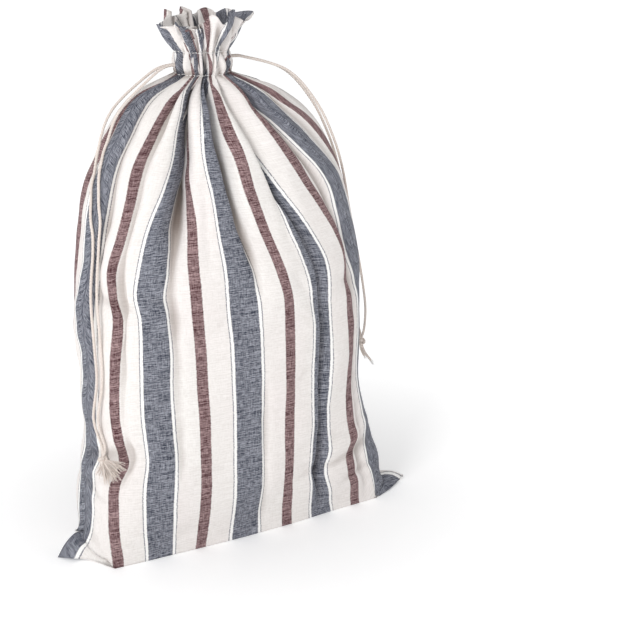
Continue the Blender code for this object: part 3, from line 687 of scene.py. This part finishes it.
def base_ring(edge):
    """A ring inside the lowest edge, on the underside."""
    target = np.column_stack([np.clip(edge[:, 0], -105.0, 105.0), np.full(COLUMNS, 3.0)])
    run = target - edge[:, :2]
    length = np.maximum(np.linalg.norm(run, axis=1), 1e-6)
    inset = edge[:, :2] + run * np.minimum(BASE_INSET / length, 0.9)[:, None]
    return np.column_stack([inset, np.full(COLUMNS, 0.3)])


def inner_skin(outer):
    """The inside of the cloth: one thickness in, and drawn together round the mouth in the channel."""
    rows = len(outer)
    normals = grid_normals(outer)
    normals[0] = (0.0, 0.0, -1.0)
    thick = np.full((rows, 1, 1), CLOTH_THICKNESS * MM)
    thick[-5:] = HEM_THICKNESS * MM
    inner = outer - normals * thick
    inner[:2, :, 2] = np.maximum(inner[:2, :, 2], CLOTH_THICKNESS * MM)
    neck = BODY_ROWS + 1
    keys = (neck - 16, neck, neck + CHANNEL_ROWS, rows - 7)
    pull = np.interp(np.arange(rows), keys, (0.0, 1.0, 1.0, 0.0))[:, None, None]
    middle = (NECK_MIDDLE - CENTRE) * MM
    out = inner[..., :2] - middle
    ring = middle + out / np.linalg.norm(out, axis=2)[..., None] * MOUTH_RADIUS * MM
    inner[..., :2] += (ring - inner[..., :2]) * smooth_step(pull)
    return inner


# The mask for painted shade in the folds: columns on each side, the depth in metres that counts as 1, the
# gain up and down, and the value on the inside of the cloth, which paints the inside a little darker as
# shade.
SHADE_REACH = 9
SHADE_FULL_DEPTH = 0.003
UPRIGHT_GAIN = 2.2
INSIDE_SHADE = 0.4
UV_UNIT = 100.0


def fold_shade_mask(grid):
    """How deep in a fold each point lies, 0 to 4, against the cloth on both sides, above and below: the mask
    for painted fold shade.
    """
    span = range(-SHADE_REACH, SHADE_REACH + 1)
    near = sum(np.roll(grid, k, axis=1) for k in span) / len(span)
    depth = ((near - grid) * grid_normals(near)).sum(axis=2)
    padded = np.concatenate([grid[:1]] * 3 + [grid] + [grid[-1:]] * 3)
    above = sum(padded[k : k + len(grid)] for k in range(7)) / 7.0
    upright = ((above - grid) * grid_normals(grid)).sum(axis=2) * UPRIGHT_GAIN
    return np.clip(np.maximum(depth, upright) / SHADE_FULL_DEPTH, 0.0, 4.0)


def make_cloth():
    """The bag: an outer and an inner skin of cloth, closed below and joined at the header's edge."""
    grid = creased(cloth_grid())
    up = cloth_heights(grid)
    world = to_world(grid)
    world = settled(world)
    world[..., 2] = np.maximum(world[..., 2], 0.0002)
    outer = np.concatenate([to_world(base_ring(base_points(column_cloth())))[None], world])
    rows = len(outer)
    half = rows * COLUMNS
    faces = ring_faces(rows) + ring_faces(rows, half, True)
    top, inner_top = (rows - 1) * COLUMNS, half + (rows - 1) * COLUMNS
    for c in range(COLUMNS):
        d = (c + 1) % COLUMNS
        faces.append((top + c, top + d, inner_top + d, inner_top + c))
    faces += [tuple(range(COLUMNS))[::-1], tuple(range(half, half + COLUMNS))]
    mesh = bpy.data.meshes.new("bag_cloth")
    mesh.from_pydata(np.concatenate([outer, inner_skin(outer)]).reshape(-1, 3).tolist(), [], faces)
    places = np.concatenate([up[:1] - BASE_INSET, up])
    places = np.concatenate([places, places]).ravel()
    uv = mesh.uv_layers.new(name="cloth")
    step = ROUND / COLUMNS
    corners = []
    for face in faces:
        last = len(face) == 4 and {0, COLUMNS - 1} <= {i % COLUMNS for i in face}
        for i in face:
            c = i % COLUMNS
            corners += [(COLUMNS if last and c == 0 else c) * step / UV_UNIT, places[i] / UV_UNIT]
    uv.data.foreach_set("uv", corners)
    # Painted shade: how deep each point lies in a fold, and a fixed amount over the inner skin, darken the
    # cloth's colour in the shader.
    painted_shade = mesh.attributes.new("painted_shade", "FLOAT", "POINT")
    inside = np.full(half, INSIDE_SHADE)
    painted_shade.data.foreach_set("value", np.concatenate([np.zeros(COLUMNS), fold_shade_mask(world).ravel(), inside]))
    mesh.update()
    mesh.polygons.foreach_set("use_smooth", [True] * len(mesh.polygons))
    return link_object("bag_cloth", mesh), world


# ---- materials ----


def linear(r, g, b):
    """An sRGB colour in 0 to 255 as linear shares."""
    out = []
    for value in (r, g, b):
        v = value / 255.0
        out.append(v / 12.92 if v <= 0.04045 else ((v + 0.055) / 1.055) ** 2.4)
    return (*out, 1.0)


class Wiring:
    """Short calls for building a node tree."""

    def __init__(self, tree):
        self.tree = tree

    def put(self, node, inputs):
        """Sets or links a node's inputs, by name or number."""
        for key, value in inputs.items():
            if isinstance(value, bpy.types.NodeSocket):
                self.tree.links.new(value, node.inputs[key])
            else:
                node.inputs[key].default_value = value

    def node(self, kind, inputs=None, **settings):
        made = self.tree.nodes.new(kind)
        for key, value in settings.items():
            setattr(made, key, value)
        self.put(made, inputs or {})
        return made

    def out(self, kind, inputs=None, **settings):
        """The first output of a new node."""
        return self.node(kind, inputs, **settings).outputs[0]

    def math(self, operation, a, b=0.0):
        return self.out("ShaderNodeMath", {0: a, 1: b}, operation=operation)

    def vector_math(self, operation, a, b):
        second = "Scale" if operation == "SCALE" else 1
        return self.out("ShaderNodeVectorMath", {0: a, second: b}, operation=operation)

    def mix(self, factor, a, b):
        """A colour between two colours."""
        return self.node("ShaderNodeMix", {"Factor": factor, 6: a, 7: b}, data_type="RGBA").outputs[2]

    def noise(self, vector, stretch, detail=2.0, rough=0.5):
        """Noise over a vector stretched along its three axes."""
        place = self.out("ShaderNodeMapping", {"Vector": vector, "Scale": stretch})
        inputs = {"Vector": place, "Scale": 1.0, "Detail": detail, "Roughness": rough}
        return self.out("ShaderNodeTexNoise", inputs)

    def ramp(self, value, low, high, out_low=0.0, out_high=1.0):
        inputs = {"Value": value, "From Min": low, "From Max": high, "To Min": out_low, "To Max": out_high}
        return self.out("ShaderNodeMapRange", inputs)

    def inside(self, distance, limit, soft):
        """1 where a distance is under a limit."""
        return self.ramp(distance, limit - soft, limit + soft, 1.0, 0.0)

    def band(self, distance, inner, outer, soft):
        """1 where a distance lies between two limits."""
        return self.math("SUBTRACT", self.inside(distance, outer, soft), self.inside(distance, inner, soft))

    def bump(self, height, strength, distance):
        return self.out("ShaderNodeBump", {"Height": height, "Strength": strength, "Distance": distance})


def new_group(name, kind, sockets):
    """A node group with sockets given by name, way and kind, and its wiring."""
    group = bpy.data.node_groups.new(name, kind)
    for label, way, socket in sockets:
        group.interface.new_socket(label, in_out=way, socket_type=f"NodeSocket{socket}")
    return group, Wiring(group)


def new_material(name):
    material = bpy.data.materials.new(name)
    material.use_nodes = True
    return material, Wiring(material.node_tree), material.node_tree.nodes["Principled BSDF"]


# The stripes in millimetres, from the middle of a blue or a red one.
BLUE_HALF_WIDTH = 11.5
RED_HALF_WIDTH = 4.7
WHITE_LINE = (11.6, 13.8)
THIN_LINE = (13.9, 14.7)
SEAM_HALF_WIDTH = 0.35
# The painted fold shade's colour, as a share of the cloth's own colour.
FOLD_SHADE = (0.34, 0.29, 0.26)
WEAVE = table(
    "across up rough share",
    (4.0, 120.0, 0.6, 0.35),
    (150.0, 12.0, 0.6, 0.25),
    (22.0, 150.0, 0.8, 0.40),
)


def cloth_material():
    """Striped half-bleached cloth, read from the place on the flat cloth, with painted shade in its folds
    and on its inside.
    """
    material, w, shader = new_material("striped_cloth")
    uv = w.out("ShaderNodeUVMap", uv_map="cloth")
    wobble = w.ramp(w.noise(uv, (8.0, 70.0, 1.0)), 0.3, 0.7, -0.25, 0.25)
    across = w.math("MULTIPLY", w.out("ShaderNodeSeparateXYZ", {0: uv}), UV_UNIT)
    across = w.math("ADD", w.math("ADD", across, wobble), 8.0 * STRIPE_PERIOD)

    def away(offset, period):
        """How far each place is from the nearest of the lines that repeat at a period."""
        place = w.math("MODULO", w.math("ADD", across, offset), period)
        return w.math("ABSOLUTE", w.math("SUBTRACT", place, period / 2.0))

    blue_off, red_off = away(STRIPE_PERIOD / 2.0, STRIPE_PERIOD), away(0.0, STRIPE_PERIOD)
    light = 0.0
    for yarn in WEAVE:
        noise = w.noise(uv, (yarn.across, yarn.up, 1.0), 2.0, yarn.rough)
        light = w.math("ADD", w.math("MULTIPLY", noise, yarn.share), light)
    speck = w.ramp(light, 0.43, 0.59)
    blue = w.mix(speck, linear(48, 52, 66), linear(164, 166, 175))
    red = w.mix(speck, linear(70, 38, 43), linear(174, 148, 148))
    broad = w.ramp(w.noise(uv, (1.2, 1.0, 1.0)), 0.35, 0.65)
    ecru = w.mix(broad, linear(241, 238, 235), linear(239, 233, 231))
    colour = w.mix(w.ramp(light, 0.42, 0.6, 0.0, 0.6), ecru, linear(212, 206, 201))
    dots = w.ramp(w.noise(uv, (3.0, 120.0, 1.0), 1.0), 0.38, 0.5, 0.3, 0.9)
    seam = w.inside(away(FLAT_WIDTH / 2.0, FLAT_WIDTH), SEAM_HALF_WIDTH, 0.25)
    for share, over in (
        (w.inside(blue_off, BLUE_HALF_WIDTH, 0.3), blue),
        (w.inside(red_off, RED_HALF_WIDTH, 0.3), red),
        (w.band(blue_off, *WHITE_LINE, 0.2), linear(247, 246, 244)),
        (w.math("MULTIPLY", w.band(blue_off, *THIN_LINE, 0.2), dots), linear(84, 88, 106)),
        (w.math("MULTIPLY", seam, 0.75), linear(52, 54, 68)),
    ):
        colour = w.mix(share, colour, over)
    # Painted shade: the colour darkens towards FOLD_SHADE where the cloth lies deep in a fold, and a little
    # on the inside.
    painted_shade = w.node("ShaderNodeAttribute", attribute_name="painted_shade").outputs["Fac"]
    shade_share = w.math("ADD", w.ramp(painted_shade, 0.1, 1.2, 0.0, 0.55), w.ramp(painted_shade, 1.2, 3.2, 0.0, 0.45))
    colour = w.mix(shade_share, colour, w.vector_math("MULTIPLY", colour, FOLD_SHADE))
    w.put(shader, {"Base Color": colour, "Normal": w.bump(light, 0.4, 0.0003)})
    w.put(shader, {"Roughness": 0.9, "Sheen Weight": 0.08, "Specular IOR Level": 0.2})
    return material


def fibre_group():
    """Fine cotton fibres for every cord and thread: how light each place is, and a normal."""
    sockets = (("Scale", "INPUT", "Float"), ("Light", "OUTPUT", "Float"), ("Normal", "OUTPUT", "Vector"))
    group, w = new_group("cotton_fibres", "ShaderNodeTree", sockets)
    place = w.node("ShaderNodeTexCoord").outputs["Object"]
    place = w.vector_math("SCALE", place, w.out("NodeGroupInput"))
    fine = w.noise(place, (2600.0, 2600.0, 900.0), 3.0, 0.7)
    w.node("NodeGroupOutput", {"Light": fine, "Normal": w.bump(fine, 0.5, 0.0002)})
    return group


def cotton_material(name, dark, pale, scale, group):
    """Cotton yarn between two tones."""
    material, w, shader = new_material(name)
    fibres = w.node("ShaderNodeGroup", node_tree=group)
    fibres.inputs["Scale"].default_value = scale
    colour = w.mix(w.ramp(fibres.outputs["Light"], 0.35, 0.65), dark, pale)
    w.put(shader, {"Base Color": colour, "Normal": fibres.outputs["Normal"]})
    w.put(shader, {"Roughness": 0.88, "Sheen Weight": 0.1, "Specular IOR Level": 0.2})
    return material


FIBRES = fibre_group()
CLOTH = cloth_material()
CORD = cotton_material("cotton_cord", linear(214, 202, 192), linear(240, 230, 224), 1.0, FIBRES)
THREAD = cotton_material("white_thread", linear(228, 226, 224), linear(250, 250, 249), 2.0, FIBRES)


# ---- patterns made by geometry nodes ----


def new_nodes(name, **kinds):
    """A geometry node tree with named inputs, its wiring and the sockets of its inputs."""
    kinds = {"Geometry": "Geometry", **kinds, "Material": "Material"}
    sockets = [(label, "INPUT", kind) for label, kind in kinds.items()]
    tree, w = new_group(name, "GeometryNodeTree", [*sockets, ("Geometry", "OUTPUT", "Geometry")])
    return tree, w, w.node("NodeGroupInput").outputs


def finish_nodes(w, geometry, material):
    """Realizes instances, shades smooth and sets the material."""
    geometry = w.out("GeometryNodeRealizeInstances", {0: geometry})
    geometry = w.out("GeometryNodeSetShadeSmooth", {0: geometry})
    geometry = w.out("GeometryNodeSetMaterial", {0: geometry, "Material": material})
    w.node("NodeGroupOutput", {"Geometry": geometry})


def resampled(w, curve, mode, amount):
    """The curve in steps of a LENGTH, or as a COUNT of points."""
    return w.out("GeometryNodeResampleCurve", {"Curve": curve, mode.title(): amount}, mode=mode)


def solid_line(w, curve, profile):
    inputs = {"Curve": curve, "Profile Curve": profile, "Fill Caps": True}
    return w.out("GeometryNodeCurveToMesh", inputs)


def circle(w, sides, radius):
    return w.out("GeometryNodeCurvePrimitiveCircle", {"Resolution": sides, "Radius": radius})


def twisted_tree():
    """A cord of three twisted strands along a curve."""
    tree, w, given = new_nodes("twisted_cord", Radius="Float", Turn="Float", Step="Float")
    dense = resampled(w, given["Geometry"], "LENGTH", given["Step"])
    turns = w.math("DIVIDE", w.node("GeometryNodeSplineParameter").outputs["Length"], given["Turn"])
    tilted = w.out("GeometryNodeSetCurveTilt", {"Curve": dense, "Tilt": w.math("MULTIPLY", turns, TAU)})
    factor = w.node("GeometryNodeSplineParameter").outputs["Factor"]
    wave = w.math("ABSOLUTE", w.math("COSINE", w.math("MULTIPLY", factor, 3.0 * math.pi)))
    grow = w.math("ADD", w.math("MULTIPLY", wave, 0.3), 0.7)
    place = w.vector_math("SCALE", w.out("GeometryNodeInputPosition"), grow)
    round_line = circle(w, 21, given["Radius"])
    lobed = w.out("GeometryNodeSetPosition", {"Geometry": round_line, "Position": place})
    finish_nodes(w, solid_line(w, tilted, lobed), given["Material"])
    return tree


def stitch_tree():
    """A row of short stitches along a curve."""
    tree, w, given = new_nodes("stitch_row", Pitch="Float", Stitch="Float", Radius="Float")
    inputs = {"Vertices": 6, "Radius": given["Radius"], "Depth": given["Stitch"]}
    stitch = w.out("GeometryNodeMeshCylinder", inputs)
    ahead = w.out("GeometryNodeInputTangent")
    turned = w.out("FunctionNodeAlignRotationToVector", {"Vector": ahead}, axis="Z")
    points = resampled(w, given["Geometry"], "LENGTH", given["Pitch"])
    inputs = {"Points": points, "Instance": stitch, "Rotation": turned}
    finish_nodes(w, w.out("GeometryNodeInstanceOnPoints", inputs), given["Material"])
    return tree


def frayed_tree():
    """Many thin strands that leave a curve's start together and spread towards its end."""
    kinds = {"Count": "Int", "Root": "Float", "Spread": "Float", "Radius": "Float", "Seed": "Int"}
    tree, w, given = new_nodes("frayed_strands", **kinds)
    inputs = {"Geometry": resampled(w, given["Geometry"], "COUNT", 9), "Amount": given["Count"]}
    copies = w.node("GeometryNodeDuplicateElements", inputs, domain="SPLINE").outputs

    def chance(offset, size):
        """A random vector for each strand, times a size."""
        seed = w.math("ADD", given["Seed"], offset)
        limits = {0: (-1.0, -1.0, -1.0), 1: (1.0, 1.0, 1.0)}
        inputs = {**limits, "ID": copies["Duplicate Index"], "Seed": seed}
        found = w.out("FunctionNodeRandomValue", inputs, data_type="FLOAT_VECTOR")
        return w.vector_math("SCALE", found, size)

    along = w.node("GeometryNodeSplineParameter").outputs["Factor"]
    spread = w.math("MULTIPLY", w.math("POWER", along, 1.6), given["Spread"])
    bend = w.math("MULTIPLY", w.math("SINE", w.math("MULTIPLY", along, 5.0)), along)
    curl = w.math("MULTIPLY", bend, w.math("MULTIPLY", given["Spread"], 0.35))
    offset = w.vector_math("ADD", chance(1.0, given["Root"]), chance(2.0, spread))
    offset = w.vector_math("ADD", offset, chance(3.0, curl))
    moved = w.out("GeometryNodeSetPosition", {"Geometry": copies["Geometry"], "Offset": offset})
    finish_nodes(w, solid_line(w, moved, circle(w, 5, given["Radius"])), given["Material"])
    return tree


def grown(name, points, tree, closed=False, **values):
    """A mesh object that a geometry node tree makes along a line of points in metres."""
    curve = bpy.data.curves.new(name, "CURVE")
    curve.dimensions = "3D"
    spline = curve.splines.new("POLY")
    spline.points.add(len(points) - 1)
    for target, point in zip(spline.points, points, strict=True):
        target.co = (*point, 1.0)
    spline.use_cyclic_u = closed
    line = link_object(f"{name}_line", curve)
    nodes = line.modifiers.new("pattern", "NODES")
    nodes.node_group = tree
    for item in tree.interface.items_tree:
        if item.in_out == "INPUT" and item.name in values:
            nodes[item.identifier] = values[item.name]
    mesh = bpy.data.meshes.new_from_object(line.evaluated_get(bpy.context.evaluated_depsgraph_get()))
    mesh.name = name
    line.modifiers.remove(nodes)
    bpy.data.objects.remove(line)
    return link_object(name, mesh)


def smooth_route(points, spacing):
    """A curve through the points, read at an even spacing, in metres."""
    dense = []
    for i in range(len(points) - 1):
        before, after = points[max(i - 1, 0)], points[min(i + 2, len(points) - 1)]
        a, b = points[i], points[i + 1]
        for k in range(24):
            t = k / 24.0
            bend = (2.0 * before - 5.0 * a + 4.0 * b - after) * t * t
            bend = bend + (3.0 * a - before - 3.0 * b + after) * t**3
            dense.append(0.5 * (2.0 * a + (b - before) * t + bend))
    dense = np.array([*dense, points[-1]])
    along = np.concatenate([[0.0], np.cumsum(np.linalg.norm(np.diff(dense, axis=0), axis=1))])
    at = np.linspace(0.0, along[-1], max(4, round(along[-1] / spacing) + 1))
    return np.stack([np.interp(at, along, dense[:, k]) for k in range(3)], 1)


def laid_on(points, clear, tree, skip=0):
    """The points, moved off the cloth where they come closer to it than clear."""
    out = []
    for i, point in enumerate(points):
        place, normal, _, far = tree.find_nearest(Vector(point))
        off = (Vector(point) - place).dot(normal)
        if i >= skip and far < 0.02 and off < clear:
            point = np.array(place + normal * clear)
        out.append(point)
    return np.array(out)


def evened(points, times=2):
    """The points with small kinks smoothed out, ends kept."""
    points = np.array(points)
    for _ in range(times):
        points[1:-1] = 0.25 * points[:-2] + 0.5 * points[1:-1] + 0.25 * points[2:]
    return points


TWISTED = twisted_tree()
STITCHES = stitch_tree()
FRAYED = frayed_tree()


def twisted(name, line, radius, turn, step, closed=False):
    """A twisted cord along a line, with its sizes in millimetres."""
    sizes = {"Radius": radius * MM, "Turn": turn * MM, "Step": step * MM}
    return grown(name, line, TWISTED, closed, Material=CORD, **sizes)


def frayed(name, line, count, root, spread, radius, seed, material):
    """Loose strands along a line, with their sizes in millimetres."""
    sizes = {"Root": root * MM, "Spread": spread * MM, "Radius": radius * MM}
    return grown(name, line, FRAYED, Count=count, Seed=seed, Material=material, **sizes)


bag, skin = make_cloth()
bag.data.materials.append(CLOTH)
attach(bag, "root")
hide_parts("bag_body")

for name in ("left_cord_in_channel", "right_cord_in_channel"):
    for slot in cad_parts[name].material_slots:
        slot.material = CORD

cloth_tree = BVHTree.FromPolygons([tuple(p) for p in skin.reshape(-1, 3)], ring_faces(len(skin)))


def make_knot(side):
    """An overhand knot of the two tails: a trefoil of cord, pulled tight."""
    size = KNOT_DIAMETER * 0.5 * MM
    middle = laid_on([np.array(KNOTS[side]) * MM], size, cloth_tree)[0]
    turn = np.linspace(0.0, TAU, 60, endpoint=False)
    x = (np.sin(turn) + 2.0 * np.sin(2.0 * turn)) / 3.0
    y = (np.cos(turn) - 2.0 * np.cos(2.0 * turn)) / 3.0
    z = -0.44 * np.sin(3.0 * turn)
    loop = middle + np.stack([0.75 * x, z, y], 1) * size
    return middle, twisted(f"{side}_overhand_knot", loop, 1.35, 5.0, 0.5, closed=True)


def make_tail(name, knot):
    """One twisted tail from its slit to the knot."""
    route = smooth_route(np.array(TAILS[name]) * MM, 3.0 * MM)
    route = laid_on(route, (CORD_DIAMETER * 0.5 + 0.15) * MM, cloth_tree, skip=4)
    route = smooth_route(evened(route), 1.0 * MM)
    fade = smooth_step(np.linspace(-9.0, 1.0, len(route)))[:, None]
    route = route + (knot + np.array([0.0, 0.0, KNOT_DIAMETER * 0.4 * MM]) - route[-1]) * fade
    return twisted(f"{name}_cord", route, CORD_DIAMETER / 2.0, 7.5, 0.7), route


# The cord's ends below each knot: X, Y and height from the knot to the tip in millimetres, and for
# the left ones how many strands.
LEFT_ENDS = ((8.0, -6.0, -11.0, 40), (2.0, -5.0, -13.0, 36), (12.0, -6.0, -6.0, 30), (-4.0, -4.0, -9.0, 18))
RIGHT_ENDS = ((8.0, -3.0, -17.0), (5.0, 3.0, -14.0))


def left_ends(knot):
    """The frayed tuft below the left knot."""
    made = []
    for k, (*reach, count) in enumerate(LEFT_ENDS):
        tip = knot + np.array(reach) * MM
        middle = knot * 0.4 + tip * 0.6 + np.array([0.0, -1.0, 0.5]) * MM
        line = evened(laid_on(smooth_route([knot, middle, tip], 1.0 * MM), 3.4 * MM, cloth_tree))
        made.append(frayed(f"left_frayed_end_{k + 1}", line, count, 1.0, 3.4, 0.22, 11 + k, CORD))
    return made


def right_ends(knot):
    """The two short ends below the right knot, each a little frayed."""
    made = []
    for k, reach in enumerate(RIGHT_ENDS):
        tip = knot + np.array(reach) * MM
        middle = knot * 0.5 + tip * 0.5 + np.array([-1.5, 0.0, 0.0]) * MM
        line = smooth_route([knot, middle, tip], 1.0 * MM)
        made.append(twisted(f"right_loose_end_{k + 1}", line, 1.15, 6.5, 0.6))
        beyond = smooth_route([line[-3], line[-1], line[-1] + (line[-1] - line[-4]) * 1.2], 0.5 * MM)
        made.append(frayed(f"right_frayed_end_{k + 1}", beyond, 16, 0.7, 1.6, 0.12, 31 + k, THREAD))
    return made


for side, make_ends in (("left", left_ends), ("right", right_ends)):
    knot_middle, knot = make_knot(side)
    pieces = [knot, *make_ends(knot_middle)]
    for piece in pieces:
        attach(piece, "root")
    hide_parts(f"{side}_knot")
    for which in ("front", "back"):
        name = f"{side}_tail_{which}"
        tail, route = make_tail(name, knot_middle)
        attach(tail, "root")
        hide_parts(name)


def make_stitch_row(name, row):
    """White stitches along one row of the cloth's grid."""
    line = skin[row] + grid_normals(skin)[row] * 0.12 * MM
    sizes = {"Pitch": 3.4 * MM, "Stitch": 2.4 * MM, "Radius": 0.28 * MM}
    made = grown(name, line, STITCHES, True, Material=THREAD, **sizes)
    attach(made, "root")


make_stitch_row("lower_channel_stitches", BODY_ROWS)
make_stitch_row("upper_channel_stitches", BODY_ROWS + CHANNEL_ROWS)


# ---- floor, light and camera ----


WHITE = (1.0, 1.0, 1.0, 1.0)
LIGHT_AIM = (0.0, 0.0, 0.2)


def make_floor():
    """A white floor that glows a little more with distance, as a lit studio sweep does."""
    size = 6.0
    mesh = bpy.data.meshes.new("floor")
    corners = [(x * size, y * size, 0.0) for x, y in ((-1, -1), (1, -1), (1, 1), (-1, 1))]
    mesh.from_pydata(corners, [], [(0, 1, 2, 3)])
    floor = link_object("floor", mesh)
    material, w, shader = new_material("floor_white")
    place = w.node("ShaderNodeTexCoord").outputs["Object"]
    far = w.node("ShaderNodeVectorMath", {0: place}, operation="LENGTH").outputs["Value"]
    w.put(shader, {"Base Color": (0.93, 0.93, 0.935, 1.0), "Roughness": 0.6})
    w.put(shader, {"Emission Color": WHITE, "Emission Strength": w.ramp(far, 0.08, 0.4, 0.16, 0.6)})
    mesh.materials.append(material)


def make_light(name, place, size, power):
    data = bpy.data.lights.new(name, "AREA")
    data.size = size
    data.energy = power
    light = link_object(name, data)
    light.location = place
    light.rotation_euler = (Vector(LIGHT_AIM) - Vector(place)).to_track_quat("-Z", "Y").to_euler()


def make_world():
    world = bpy.data.worlds.new("studio")
    bpy.context.scene.world = world
    world.use_nodes = True
    Wiring(world.node_tree).put(world.node_tree.nodes["Background"], {"Color": WHITE, "Strength": 0.5})


CAMERA_TURN, CAMERA_RISE = -28.5, 19.1
CAMERA_AWAY = 1.2356
CAMERA_AIM = (0.0805 - CENTRE[0] * MM, -CENTRE[1] * MM, 0.162)
CAMERA_LENS = 84.375


def make_camera():
    turn, rise = math.radians(CAMERA_TURN), math.radians(CAMERA_RISE)
    back = Vector((math.sin(turn) * math.cos(rise), -math.cos(turn) * math.cos(rise), math.sin(rise)))
    data = bpy.data.cameras.new("camera")
    data.lens = CAMERA_LENS
    data.sensor_width = 36.0
    data.clip_start = 0.01
    camera = link_object("camera", data)
    camera.location = Vector(CAMERA_AIM) + back * CAMERA_AWAY
    camera.rotation_euler = back.to_track_quat("Z", "Y").to_euler()
    bpy.context.scene.camera = camera


make_floor()
make_world()
make_light("key", (-1.3, -0.9, 1.1), 0.6, 15.5)
make_light("fill", (1.6, -1.2, 1.0), 1.2, 4.0)
make_camera()
bpy.context.scene.view_settings.view_transform = "Standard"
